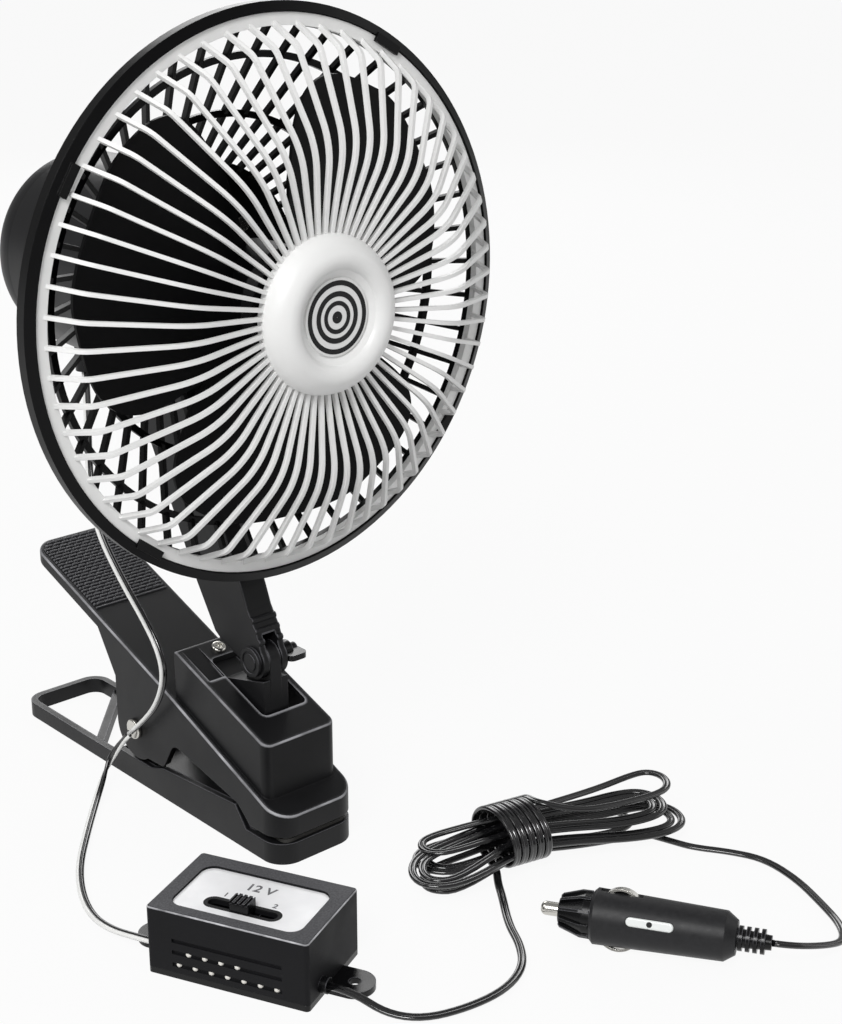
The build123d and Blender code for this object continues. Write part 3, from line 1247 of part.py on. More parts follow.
# Switch box
LABEL_TOP_Z = BOX_TALL - LABEL_SINK
LABEL_SEAT_Z = LABEL_TOP_Z - LABEL_THICK
BOX_INNER_TOP_Z = BOX_TALL - BOX_ROOF
BOX_POST_TALL = BOX_INNER_TOP_Z - BOX_POST_FOOT_Z
BOX_CORNERS = [(sx * BOX_SCREW_AT_X, sy * BOX_SCREW_AT_Y) for sx in (1, -1) for sy in (1, -1)]
with BuildPart() as box_base:
    with BuildSketch():
        RectangleRounded(BOX_LONG, BOX_WIDE, BOX_CORNER_R)
        SlotOverall(2 * (EAR_HOLE_AT + EAR_ROUND_R), 2 * EAR_ROUND_R)
        with Locations((EAR_HOLE_AT, 0), (-EAR_HOLE_AT, 0)):
            Circle(EAR_HOLE_R, mode=Mode.SUBTRACT)
    extrude(amount=BASE_THICK)
    with BuildSketch(Plane.XY.offset(BASE_THICK)):
        Rectangle(BOX_LONG - 2 * (BOX_WALL + SLIDE_FIT), BOX_WIDE - 2 * (BOX_WALL + SLIDE_FIT))
        Rectangle(
            BOX_LONG - 2 * (BOX_WALL + SLIDE_FIT + BASE_LIP_THICK),
            BOX_WIDE - 2 * (BOX_WALL + SLIDE_FIT + BASE_LIP_THICK),
            mode=Mode.SUBTRACT,
        )
        with Locations((BOX_LONG / 2, CORD_BOX_Y), (-BOX_LONG / 2, CORD_BOX_Y)):
            Rectangle(BOX_WALL * 6, 2 * (GROMMET_R + PART_GAP), mode=Mode.SUBTRACT)
    extrude(amount=BASE_LIP_TALL)
    with BuildSketch(Plane.XY.offset(-OVERRUN)):
        with Locations(*BOX_CORNERS):
            Circle(BOX_SCREW_HEAD_R)
    extrude(amount=OVERRUN + BOX_SCREW_HEAD_TALL, mode=Mode.SUBTRACT)
    with BuildSketch(Plane.XY.offset(-OVERRUN)):
        with Locations(*BOX_CORNERS):
            Circle(BOX_SCREW_R)
    extrude(amount=BASE_THICK + 2 * OVERRUN, mode=Mode.SUBTRACT)
write(box_base.part, "box_base", BOX_PLANE)

with BuildPart() as box_cover:
    with BuildSketch(Plane.XY.offset(BASE_THICK)):
        RectangleRounded(BOX_LONG, BOX_WIDE, BOX_CORNER_R)
    extrude(amount=BOX_TALL - BASE_THICK)
    fillet(box_cover.faces().sort_by(Axis.Z)[-1].edges(), BOX_EDGE_R)
    with BuildSketch(Plane.XY.offset(BASE_THICK)):
        Rectangle(BOX_LONG - 2 * BOX_WALL, BOX_WIDE - 2 * BOX_WALL)
    extrude(amount=BOX_INNER_TOP_Z - BASE_THICK, mode=Mode.SUBTRACT)
    with BuildSketch(Plane.XY.offset(BOX_INNER_TOP_Z - BOX_POST_TALL)):
        with Locations(*BOX_CORNERS):
            Circle(BOX_POST_R)
    extrude(amount=BOX_POST_TALL)
    with BuildSketch(Plane.XY.offset(BOX_INNER_TOP_Z - BOX_POST_TALL)):
        with Locations(*BOX_CORNERS):
            Circle(BOX_SCREW_R)
    extrude(amount=BOX_SCREW_LONG / 2, mode=Mode.SUBTRACT)
    with BuildSketch(Plane.XY.offset(BOX_INNER_TOP_Z)):
        with Locations((0, SLIDE_Y)):
            SlotOverall(SLIDE_LONG, SLIDE_WIDE)
    extrude(amount=BOX_ROOF, mode=Mode.SUBTRACT)
    with BuildSketch(Plane.XY.offset(LABEL_SEAT_Z)):
        with Locations((0, LABEL_Y)):
            RectangleRounded(
                LABEL_LONG + 2 * SLIDE_FIT, LABEL_WIDE + 2 * SLIDE_FIT, LABEL_CORNER_R + SLIDE_FIT
            )
    extrude(amount=BOX_ROOF, mode=Mode.SUBTRACT)
    with BuildSketch(Plane.XZ.offset(BOX_WIDE / 2)):
        with Locations(*[(0, z) for z in GROOVE_ZS]):
            Rectangle(GROOVE_LONG, GROOVE_TALL)
    extrude(amount=-GROOVE_DEEP, mode=Mode.SUBTRACT)
    with BuildSketch(Plane.XZ.offset(BOX_WIDE / 2)):
        with Locations((0, GROOVE_ZS[0])):
            with GridLocations(VENT_STEP, VENT_STEP, LOWER_VENTS, 1):
                Circle(VENT_R)
        with Locations(*[(UPPER_VENT_FROM_X + VENT_STEP * i, GROOVE_ZS[1]) for i in range(UPPER_VENTS)]):
            Circle(VENT_R)
    extrude(amount=-BOX_WALL - OVERRUN, mode=Mode.SUBTRACT)
    with BuildSketch(Plane.YZ):
        with Locations((CORD_BOX_Y, CORD_BOX_Z)):
            Circle(GROMMET_R)
    extrude(amount=BOX_LONG, both=True, mode=Mode.SUBTRACT)
write(box_cover.part, "box_cover", BOX_PLANE)

with BuildPart() as label_plate:
    with BuildSketch(Plane.XY.offset(LABEL_SEAT_Z)):
        with Locations((0, LABEL_Y)):
            RectangleRounded(LABEL_LONG, LABEL_WIDE, LABEL_CORNER_R)
        with Locations((0, SLIDE_Y)):
            SlotOverall(SLIDE_LONG, SLIDE_WIDE, mode=Mode.SUBTRACT)
    extrude(amount=LABEL_THICK)
write(label_plate.part, "label_plate", BOX_PLANE)

with BuildPart() as switch_body:
    with BuildSketch(Plane.XY.offset(BOX_INNER_TOP_Z - SWITCH_TALL)):
        with Locations((0, SLIDE_Y)):
            Rectangle(SWITCH_LONG, SWITCH_WIDE)
    extrude(amount=SWITCH_TALL)
    with BuildSketch(Plane.XY.offset(BOX_INNER_TOP_Z)):
        with Locations((0, SLIDE_Y)):
            Rectangle(SWITCH_WELL_LONG, SWITCH_WELL_WIDE)
    extrude(amount=-KNOB_FOOT_TALL - 2 * PART_GAP, mode=Mode.SUBTRACT)
write(switch_body.part, "switch_body", BOX_PLANE)

with BuildPart() as switch_knob:
    with BuildSketch(Plane.XY.offset(BOX_INNER_TOP_Z - PART_GAP)):
        with Locations((0, SLIDE_Y)):
            Rectangle(KNOB_FOOT_LONG, KNOB_FOOT_WIDE)
    extrude(amount=-KNOB_FOOT_TALL)
    with BuildSketch(Plane.XY.offset(BOX_INNER_TOP_Z - PART_GAP)):
        with Locations((0, SLIDE_Y)):
            Rectangle(KNOB_LONG - 2 * PART_GAP, KNOB_NECK_WIDE)
    extrude(amount=LABEL_TOP_Z + 2 * PART_GAP - BOX_INNER_TOP_Z)
    with BuildSketch(Plane.XY.offset(LABEL_TOP_Z + PART_GAP)):
        with Locations((0, SLIDE_Y)):
            RectangleRounded(KNOB_LONG, KNOB_WIDE, KNOB_RIDGE_WIDE)
    extrude(amount=KNOB_TALL)
    with BuildSketch(Plane.XY.offset(LABEL_TOP_Z + PART_GAP + KNOB_TALL)):
        with Locations((0, SLIDE_Y)):
            with GridLocations(KNOB_RIDGE_STEP, 0, KNOB_RIDGES, 1):
                Rectangle(KNOB_RIDGE_WIDE, KNOB_WIDE + OVERRUN)
    extrude(amount=-KNOB_RIDGE_DEEP, mode=Mode.SUBTRACT)
write(switch_knob.part, "switch_knob", BOX_PLANE)

with BuildPart() as ceramic_resistor:
    with BuildSketch(Plane.XY.offset(BASE_THICK)):
        with Locations((0, RESISTOR_Y)):
            RectangleRounded(RESISTOR_LONG, RESISTOR_WIDE, BOX_CORNER_R)
    extrude(amount=RESISTOR_TALL)
write(ceramic_resistor.part, "ceramic_resistor", BOX_PLANE)

with BuildPart() as box_screws:
    with BuildSketch(Plane.XY.offset(PART_GAP)):
        with Locations(*BOX_CORNERS):
            Circle(BOX_SCREW_HEAD_R)
    extrude(amount=BOX_SCREW_HEAD_TALL - PART_GAP)
    with BuildSketch(Plane.XY.offset(BOX_SCREW_HEAD_TALL)):
        with Locations(*BOX_CORNERS):
            Circle(BOX_SCREW_R)
    extrude(amount=BOX_SCREW_LONG)
write(box_screws.part, "box_screws", BOX_PLANE)

with BuildPart() as box_grommets:
    for side in (1, -1):
        with BuildSketch(Plane.YZ.offset(side * (BOX_LONG / 2 - BOX_WALL))):
            with Locations((CORD_BOX_Y, CORD_BOX_Z)):
                Circle(GROMMET_R)
        extrude(amount=side * BOX_WALL)
        with BuildSketch(Plane.YZ.offset(side * BOX_LONG / 2)):
            with Locations((CORD_BOX_Y, CORD_BOX_Z)):
                Circle(GROMMET_LIP_R)
        extrude(amount=side * GROMMET_LIP_LONG)
write(box_grommets.part, "box_grommets", BOX_PLANE)

# Plug
CAP_END = PLUG_BODY_LONG + CAP_LONG
TIP_STOP = CAP_END - CAP_WALL_FRONT
FUSE_FRONT = TIP_STOP - SLIDE_FIT - TIP_FLANGE_LONG


def plug_side(turn):
    """Plane through the plug's axis whose X points out of its side, at a turn from straight up."""
    out = radians(turn)
    return Plane(origin=(0, 0, 0), x_dir=(cos(out), sin(out), 0), z_dir=(sin(out), -cos(out), 0))


LENS_PLANE = Plane(
    origin=plug_side(LENS_TURN_DEG).from_local_coords(Vector(LENS_SEAT_R, (LENS_FROM + LENS_TO) / 2, 0)),
    x_dir=(0, 0, 1),
    z_dir=plug_side(LENS_TURN_DEG).x_dir,
)
with BuildPart() as plug_body:
    with BuildSketch(Plane.XZ):
        Polygon(
            (0, 0),
            (PLUG_BEVEL_R, 0),
            (PLUG_REAR_R, PLUG_BEVEL_LONG),
            (PLUG_FRONT_R, PLUG_BODY_LONG - PLUG_FRONT_CHAMFER),
            (PLUG_FRONT_R - PLUG_FRONT_CHAMFER, PLUG_BODY_LONG),
            (PLUG_BORE_R, PLUG_BODY_LONG),
            (PLUG_BORE_R, PLUG_BORE_FROM),
            (0, PLUG_BORE_FROM),
            align=None,
        )
    revolve(axis=Axis.Z)
    for side in (1, -1):
        with BuildSketch(plug_side(CONTACT_TURN_DEG)):
            Polygon(
                (side * (PLUG_REAR_R - CONTACT_SLOT_DEEP), CONTACT_FROM - SLIDE_FIT),
                (side * (PLUG_FRONT_R + OVERRUN), CONTACT_FROM - SLIDE_FIT),
                (side * (PLUG_FRONT_R + OVERRUN), CONTACT_TO + SLIDE_FIT),
                (side * (PLUG_REAR_R - CONTACT_SLOT_DEEP), CONTACT_TO + SLIDE_FIT),
                align=None,
            )
        extrude(amount=CONTACT_WIDE / 2 + SLIDE_FIT, both=True, mode=Mode.SUBTRACT)
    with BuildSketch(LENS_PLANE):
        SlotOverall(LENS_TO - LENS_FROM + 2 * SLIDE_FIT, LENS_WIDE + 2 * SLIDE_FIT)
    extrude(amount=PLUG_REAR_R, mode=Mode.SUBTRACT)
write(plug_body.part, "plug_body", PLUG_PLANE)

with BuildPart() as pilot_lens:
    with BuildSketch(LENS_PLANE):
        SlotOverall(LENS_TO - LENS_FROM, LENS_WIDE)
    extrude(amount=LENS_TALL)
    lens_face = pilot_lens.faces().sort_by(Axis(LENS_PLANE.origin, LENS_PLANE.z_dir))[-1]
    fillet(lens_face.edges(), LENS_EDGE_R)
write(pilot_lens.part, "pilot_lens", PLUG_PLANE)

with BuildPart() as side_contacts:
    floor_r = PLUG_REAR_R - CONTACT_SLOT_DEEP
    crown_r = PLUG_FRONT_R + CONTACT_BOW
    middle_s = (CONTACT_FROM + CONTACT_TO) / 2
    for side in (1, -1):
        with BuildSketch(plug_side(CONTACT_TURN_DEG)):
            with BuildLine():
                ThreePointArc(
                    (side * floor_r, CONTACT_FROM), (side * crown_r, middle_s), (side * floor_r, CONTACT_TO)
                )
                Line((side * floor_r, CONTACT_TO), (side * floor_r, CONTACT_TO - CONTACT_THICK * 2))
                ThreePointArc(
                    (side * floor_r, CONTACT_TO - CONTACT_THICK * 2),
                    (side * (crown_r - CONTACT_THICK), middle_s),
                    (side * floor_r, CONTACT_FROM + CONTACT_THICK * 2),
                )
                Line((side * floor_r, CONTACT_FROM + CONTACT_THICK * 2), (side * floor_r, CONTACT_FROM))
            make_face()
        extrude(amount=CONTACT_WIDE / 2, both=True)
write(side_contacts.part, "side_contacts", PLUG_PLANE)

with BuildPart() as plug_cap:
    with BuildSketch(Plane.XZ):
        Polygon(
            (PLUG_BORE_R, PLUG_BODY_LONG),
            (CAP_SHOULDER_R, PLUG_BODY_LONG),
            (CAP_SHOULDER_R, PLUG_BODY_LONG + CAP_RIM_LONG),
            (CAP_TIP_R, CAP_END),
            (TIP_R + SLIDE_FIT, CAP_END),
            (TIP_R + SLIDE_FIT, TIP_STOP),
            (PLUG_BORE_R, TIP_STOP),
            align=None,
        )
    revolve(axis=Axis.Z)
write(plug_cap.part, "plug_cap", PLUG_PLANE)

with BuildPart() as plug_tip:
    with BuildSketch(Plane.XY.offset(FUSE_FRONT)):
        Circle(TIP_FLANGE_R)
    extrude(amount=TIP_FLANGE_LONG)
    with BuildSketch(Plane.XY.offset(FUSE_FRONT)):
        Circle(TIP_R)
    extrude(amount=CAP_END + TIP_REACH - FUSE_FRONT)
    fillet(plug_tip.edges().sort_by(Axis.Z)[-1], TIP_ROUND_R)
write(plug_tip.part, "plug_tip", PLUG_PLANE)

with BuildPart() as plug_fuse:
    with BuildSketch(Plane.XY.offset(FUSE_FRONT - FUSE_LONG)):
        Circle(FUSE_R)
    extrude(amount=FUSE_LONG)
write(plug_fuse.part, "plug_fuse", PLUG_PLANE)

spring_from = PLUG_BORE_FROM + TIP_SPRING_WIRE_R
spring_to = FUSE_FRONT - FUSE_LONG - TIP_SPRING_WIRE_R
tip_rise = (spring_to - spring_from) / (2 * pi * TIP_SPRING_TURNS)
tip_points, tip_tangents = [], []
for i in range(4 * TIP_SPRING_TURNS + 1):
    turn = pi / 2 * i
    share = i / (4 * TIP_SPRING_TURNS)
    coil_s = spring_from + (spring_to - spring_from) * share
    tip_points.append(Vector(TIP_SPRING_R * cos(turn), TIP_SPRING_R * sin(turn), coil_s))
    tip_tangents.append(Vector(-TIP_SPRING_R * sin(turn), TIP_SPRING_R * cos(turn), tip_rise))
tip_spring_part, tip_spring_path = wire_sweep(tip_points, tip_tangents, TIP_SPRING_WIRE_R, HANK_SIDES)
write(tip_spring_part, "tip_spring", PLUG_PLANE)

with BuildPart() as strain_relief:
    with BuildSketch(Plane.XZ):
        Polygon((0, 0), (RELIEF_R, 0), (RELIEF_END_R, -RELIEF_LONG), (0, -RELIEF_LONG), align=None)
        with Locations(*[(RELIEF_RIB_R / 2, -RELIEF_RIB_STEP * (i + 0.5)) for i in range(RELIEF_RIBS)]):
            Rectangle(RELIEF_RIB_R, RELIEF_RIB_LONG)
    revolve(axis=Axis.Z)
write(strain_relief.part, "strain_relief", PLUG_PLANE)

# Bundled cord: loops in four layers that spiral in and out, tied by turns round the waist
hank_along = Vector(cos(radians(HANK_YAW_DEG)), sin(radians(HANK_YAW_DEG)), 0)
hank_across = Vector(-sin(radians(HANK_YAW_DEG)), cos(radians(HANK_YAW_DEG)), 0)
wrap_z = CORD_R + WRAP_HALF_Z
hank_points, hank_tangents = [], []


def lay(u, v, z, du, dv, dz):
    """Adds one point of the bundle, with its direction."""
    hank_points.append(Vector(HANK_X, HANK_Y, 0) + hank_along * u + hank_across * v + Vector(0, 0, z))
    hank_tangents.append((hank_along * du + hank_across * dv + Vector(0, 0, dz)).normalized())


wrap_from = -WRAP_PITCH * WRAP_QUARTERS / 8
lay(START_U, START_V, CORD_R, cos(radians(START_HEADING_DEG)), sin(radians(START_HEADING_DEG)), 0)
for i in range(WRAP_QUARTERS + 1):
    turn = pi / 2 * (i - 1)
    lay(
        wrap_from + WRAP_PITCH * i / 4,
        WRAP_HALF_V * cos(turn),
        wrap_z + WRAP_HALF_Z * sin(turn),
        0 if i == 0 else WRAP_PITCH / (2 * pi),
        -WRAP_HALF_V * sin(turn),
        WRAP_HALF_Z * cos(turn),
    )
lay(-wrap_from + JOIN_U, JOIN_V, wrap_z + WRAP_HALF_Z - JOIN_DROP, *JOIN_LEAN_SHARES)
for level, turns in enumerate(HANK_TURNS):
    layer_z = wrap_z + ((len(HANK_TURNS) - 1) / 2 - level) * HANK_LAYER
    right, right_sway = HANK_RIGHT_REACHES[level], HANK_RIGHT_SWAYS[level]
    left, left_sway = HANK_LEFT_REACHES[level], HANK_LEFT_SWAYS[level]
    low = layer_z - HANK_DROP
    for step in range(1, 8 * turns + 1):
        spot = step % 8
        out = (turns - step / 8 if level % 2 == 0 else step / 8) * HANK_STEP
        lobe = HANK_LOBE + out
        waist = HANK_WAIST + out
        if spot == 0:
            lay(0, -waist, layer_z, 1, 0, 0)
        elif spot == 1:
            lay(right - HANK_LOBE, right_sway - lobe, low, 1, 0, 0)
        elif spot == 2:
            lay(right + out, right_sway, low, 0, 1, 0)
        elif spot == 3:
            lay(right - HANK_LOBE, right_sway + lobe, low, -1, 0, 0)
        elif spot == 4:
            lay(0, waist, layer_z, -1, 0, 0)
        elif spot == 5:
            lay(-left + HANK_LOBE, left_sway + lobe, low, -1, 0, 0)
        elif spot == 6:
            lay(-left - out, left_sway, low, 0, -1, 0)
        else:
            lay(-left + HANK_LOBE, left_sway - lobe, low, 1, 0, 0)
last_waist = HANK_WAIST + HANK_TURNS[-1] * HANK_STEP
lay(EXIT_RUN_U, -last_waist - EXIT_RUN_V, CORD_R, 1, 0, 0)
lay(EXIT_U, EXIT_V, CORD_R, cos(radians(EXIT_HEADING_DEG)), sin(radians(EXIT_HEADING_DEG)), 0)
hank_edges = arc_chain(hank_points, hank_tangents)
hank_samples = []
walked = 0
for edge in hank_edges:
    for i in range(HANK_SAMPLES):
        along = i / HANK_SAMPLES
        hank_samples.append((walked + edge.length * along, tuple(edge.position_at(along))))
    walked += edge.length
least_gap = walked
for i, (at, (x, y, z)) in enumerate(hank_samples):
    for other, (ox, oy, oz) in hank_samples[i + 1:]:
        if other - at > HANK_APART:
            least_gap = min(least_gap, (x - ox) ** 2 + (y - oy) ** 2 + (z - oz) ** 2)
least_bend = min(e.radius for e in hank_edges if e.geom_type == GeomType.CIRCLE)
print("cord_hank self gap", round(sqrt(least_gap) - 2 * CORD_R, 2), "least bend", round(least_bend, 2))
with BuildPart() as cord_hank:
    with BuildSketch(Plane(origin=hank_points[0], z_dir=hank_tangents[0])):
        RegularPolygon(CORD_R, HANK_SIDES)
    sweep(path=Wire(hank_edges))
hank_section = 3 * sqrt(3) / 2 * CORD_R**2
hank_share = cord_hank.part.volume / (hank_section * walked)
print("cord_hank length", round(walked, 1), "volume share", round(hank_share, 4))
write(cord_hank.part, "cord_hank")

# Free cords
box_axis = BOX_PLANE.x_dir
cord_exit_x = BOX_LONG / 2 + GROMMET_LIP_LONG
cord_exit_left = BOX_PLANE.from_local_coords(Vector(-cord_exit_x, CORD_BOX_Y, CORD_BOX_Z))
cord_exit_right = BOX_PLANE.from_local_coords(Vector(cord_exit_x, CORD_BOX_Y, CORD_BOX_Z))
plug_entry = PLUG_PLANE.from_local_coords(Vector(0, 0, -RELIEF_LONG))
cord((*CORD_HEAD_ROUTE,), "cord_head")
cord((*CORD_MID_ROUTE, cord_exit_left - box_axis * BOX_RUN, cord_exit_left), "cord_mid")
hank_entry = hank_points[0] - hank_tangents[0] * HANK_RUN
hank_leave = hank_points[-1] + hank_tangents[-1] * HANK_RUN
plug_lead = plug_entry - PLUG_PLANE.z_dir * PLUG_RUN
box_lead = cord_exit_right + box_axis * BOX_RUN
cord((cord_exit_right, box_lead, *CORD_OUT_ROUTE, hank_entry, hank_points[0]), "cord_out")
cord((hank_points[-1], hank_leave, *CORD_LEAD_ROUTE, plug_lead, plug_entry), "cord_lead")
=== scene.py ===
"""Looks of a clip-on twelve-volt fan: finishes, cords, printed marks and small moulded detail.

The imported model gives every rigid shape. This script dresses it, lays the flat twin cord along its route,
winds the two springs that move, and sets a pale studio with the camera where the photograph was taken from.
"""

from __future__ import annotations

import logging
import math
from dataclasses import dataclass, field, replace
from enum import Enum
from typing import NamedTuple

import bpy
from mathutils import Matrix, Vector


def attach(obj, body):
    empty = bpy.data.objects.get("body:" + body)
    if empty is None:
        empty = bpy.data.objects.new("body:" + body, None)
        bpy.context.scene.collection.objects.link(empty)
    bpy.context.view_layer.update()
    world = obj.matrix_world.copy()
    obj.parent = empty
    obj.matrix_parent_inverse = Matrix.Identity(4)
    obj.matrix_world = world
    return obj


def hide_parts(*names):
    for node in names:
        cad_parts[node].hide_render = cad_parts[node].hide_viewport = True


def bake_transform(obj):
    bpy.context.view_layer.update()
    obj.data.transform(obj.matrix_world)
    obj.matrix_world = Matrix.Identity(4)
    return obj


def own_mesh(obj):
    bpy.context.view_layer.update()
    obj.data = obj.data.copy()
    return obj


log = logging.getLogger("fan")

MM = 0.001
Point = tuple[float, float, float]
Pair = tuple[float, float]
Route = tuple[Point, ...]
Tree = bpy.types.NodeTree
Socket = bpy.types.NodeSocket
UP = Vector((0.0, 0.0, 1.0))


class Grain(Enum):
    """How a surface was made: the octaves of its relief and the share that each next octave keeps."""

    SPARKED = (3.0, 0.55)
    POLISHED = (1.0, 0.4)
    DRAWN = (2.0, 0.5)
    FIRED = (4.0, 0.6)
    EXTRUDED = (1.5, 0.45)


def linear(code: str) -> tuple[float, float, float, float]:
    """Turns an sRGB hex value to linear colour.

    Args:
        code: Six hex digits, such as "1a1a1c".

    Returns:
        Red, green, blue and alpha, linear.
    """
    parts = [int(code[i:i + 2], 16) / 255 for i in (0, 2, 4)]
    lit = [c / 12.92 if c <= 0.04045 else ((c + 0.055) / 1.055) ** 2.4 for c in parts]
    return (lit[0], lit[1], lit[2], 1.0)


def node(tree: Tree, kind: str, links: dict | None = None, values: dict | None = None,
         **settings: object) -> bpy.types.Node:
    """Adds one node with its settings, values and links.

    Args:
        tree: Node tree that takes the node.
        kind: Blender's name of the node type.
        links: Output socket that feeds each named input.
        values: Value of each named input.
        **settings: Attributes of the node itself.

    Returns:
        The new node.
    """
    made = tree.nodes.new(kind)
    for name, value in settings.items():
        setattr(made, name, value)
    for name, value in (values or {}).items():
        made.inputs[name].default_value = value
    for name, source in (links or {}).items():
        tree.links.new(source, made.inputs[name])
    return made


def ramp(tree: Tree, source: Socket, span: Pair, to: Pair = (0.0, 1.0)) -> Socket:
    """Maps a value from one span to another, and holds it at the ends.

    Args:
        tree: Node tree that takes the node.
        source: Output that gives the value.
        span: Values that become the first and the second of to.
        to: Values given for them.

    Returns:
        The mapped output.
    """
    ends = {"From Min": span[0], "From Max": span[1], "To Min": to[0], "To Max": to[1]}
    return node(tree, "ShaderNodeMapRange", {"Value": source}, ends).outputs["Result"]


def maths(tree: Tree, operation: str, a: Socket, b: Socket | float) -> Socket:
    """Combines an output with another output or with a number.

    Args:
        tree: Node tree that takes the node.
        operation: Blender's name of the operation.
        a: First output.
        b: Second output, or a number.

    Returns:
        The combined output.
    """
    plain = isinstance(b, float)
    return node(tree, "ShaderNodeMath", {0: a} if plain else {0: a, 1: b}, {1: b} if plain else None,
                operation=operation).outputs[0]


class PaintedLight(NamedTuple):
    """Painted light on faces, by the Z of their normal: a painted highlight on rounded rims, or a painted
    lighter top where light falls.

    It comes in over the span, stops past the last value, and keeps its least share between specks.
    """

    span: Pair
    last: float
    least: float


# Painted highlight on rounded rims, and a painted lighter top on faces that look up
RIM_HIGHLIGHT = PaintedLight((0.1, 0.35), 0.82, 0.25)
TOP_LIGHT = PaintedLight((0.82, 0.95), 2.0, 0.6)
# Spans of the noise that make patches and specks, and of the faces that look up enough to take the painted
# edge highlight
PATCH_SPAN = (0.25, 0.75)
SPECK_SPAN = (0.35, 0.65)
LYING_SPAN = (0.1, 0.5)
PATCH_OCTAVES = (4.0, 0.6)
BEVEL_SAMPLES = 4
# Samples of the occlusion that finds edges for the painted edge highlight
EDGE_HIGHLIGHT_SAMPLES = 6


@dataclass(frozen=True)
class Finish:
    """One real material and the way its surface was made.

    Colours are sRGB hex, sizes are in millimetres. The edge, rim and top colours paint light: painted
    highlights and a painted lighter top.
    """

    name: str
    colour: str
    shade: str
    roughness: float
    grain: Grain
    grain_mm: float
    relief_mm: float
    metallic: float = 0.0
    ior: float = 1.5
    specular: float = 0.5
    coat: float = 0.0
    coat_roughness: float = 0.1
    edge_mm: float = 0.25
    # Painted highlight on upward-facing edges: its colour, the reach of the occlusion that finds the edges,
    # and the span of that occlusion that is painted
    edge_highlight_colour: str = ""
    edge_highlight_mm: float = 0.8
    edge_highlight_span: Pair = (0.92, 0.5)
    # Painted highlight on rounded rims, painted lighter top where light falls, and the height above which
    # both are painted
    rim_highlight_colour: str = ""
    top_light_colour: str = ""
    painted_light_from_mm: float = 0.0
    rough_spread: float = 0.06
    patch_mm: float = 22.0
    stretch: Point = (1.0, 1.0, 1.0)

    def material(self) -> bpy.types.Material:
        """Makes the material, or gives the one already made.

        Returns:
            The Blender material of this finish.
        """
        made = bpy.data.materials.get(self.name)
        if made is not None:
            return made
        made = bpy.data.materials.new(self.name)
        made.use_nodes = True
        made.diffuse_color = linear(self.colour)
        tree = made.node_tree
        tree.nodes.clear()
        place = node(tree, "ShaderNodeTexCoord").outputs
        spread = node(tree, "ShaderNodeMapping", {"Vector": place["Object"]}, {"Scale": self.stretch})
        fine, patch = (
            node(tree, "ShaderNodeTexNoise", {"Vector": at},
                 {"Scale": 1 / MM / size, "Detail": octaves[0], "Roughness": octaves[1]}).outputs["Fac"]
            for at, size, octaves in ((spread.outputs["Vector"], self.grain_mm, self.grain.value),
                                      (place["Object"], self.patch_mm, PATCH_OCTAVES)))
        rough = ramp(tree, patch, PATCH_SPAN,
                     (self.roughness - self.rough_spread, self.roughness + self.rough_spread))
        tone = node(tree, "ShaderNodeMix", {"Factor": patch},
                    {"A": linear(self.colour), "B": linear(self.shade)}, data_type="RGBA")
        colour = tone.outputs["Result"]
        soft = node(tree, "ShaderNodeBevel", None, {"Radius": self.edge_mm * MM}, samples=BEVEL_SAMPLES)
        level = node(tree, "ShaderNodeSeparateXYZ", {"Vector": place["Normal"]}).outputs["Z"]
        height = node(tree, "ShaderNodeSeparateXYZ", {"Vector": place["Object"]}).outputs["Z"]
        layers: list[tuple[Socket, str]] = []
        # Painted light by the Z of the normal: a painted highlight on rounded rims and a painted lighter top,
        # broken up by noise
        for code, light_band, uneven in ((self.rim_highlight_colour, RIM_HIGHLIGHT, patch), (self.top_light_colour, TOP_LIGHT, fine)):
            if code:
                share = ramp(tree, level, light_band.span)
                for factor in (ramp(tree, uneven, SPECK_SPAN, (light_band.least, 1.0)),
                               maths(tree, "LESS_THAN", level, light_band.last),
                               maths(tree, "GREATER_THAN", height, self.painted_light_from_mm * MM)):
                    share = maths(tree, "MULTIPLY", share, factor)
                layers.append((share, code))
        # Painted highlight on edges, found by occlusion inside the surface, on faces that look up
        if self.edge_highlight_colour:
            near = node(tree, "ShaderNodeAmbientOcclusion", None, {"Distance": self.edge_highlight_mm * MM},
                        samples=EDGE_HIGHLIGHT_SAMPLES, inside=True, only_local=True)
            edge_highlight = ramp(tree, near.outputs["AO"], self.edge_highlight_span)
            layers.append((maths(tree, "MULTIPLY", edge_highlight, ramp(tree, level, LYING_SPAN)), self.edge_highlight_colour))
        for share, code in layers:
            colour = node(tree, "ShaderNodeMix", {"Factor": share, "A": colour}, {"B": linear(code)},
                          data_type="RGBA").outputs["Result"]
        bump = node(tree, "ShaderNodeBump", {"Height": fine, "Normal": soft.outputs["Normal"]},
                    {"Strength": 1.0, "Distance": self.relief_mm * MM})
        skin = node(tree, "ShaderNodeBsdfPrincipled",
                    {"Base Color": colour, "Roughness": rough, "Normal": bump.outputs["Normal"]},
                    {"Metallic": self.metallic, "IOR": self.ior, "Specular IOR Level": self.specular,
                     "Coat Weight": self.coat, "Coat Roughness": self.coat_roughness})
        node(tree, "ShaderNodeOutputMaterial", {"Surface": skin.outputs["BSDF"]})
        return made


# ABS, moulded in a spark-eroded tool: an even grain breaks the shine into a dull satin, with a painted
# highlight that makes its upward-facing edges pale
SATIN_BLACK = Finish("abs_black_spark_eroded", "0e0e0f", "151517", 0.42, Grain.SPARKED, 0.55, 0.02,
                     ior=1.52, specular=0.22, edge_mm=0.6, edge_highlight_colour="6e6e72", edge_highlight_mm=0.9)
# The same ABS on the clip's upper lever: a stronger painted highlight on its edges, and a painted highlight
# line along its rounded top edges
LEVER_BLACK = replace(SATIN_BLACK, name="abs_black_lever_edge_highlight", edge_highlight_colour="9a9a9e", edge_highlight_mm=1.5,
                      edge_highlight_span=(0.88, 0.62), rim_highlight_colour="b6b6ba")
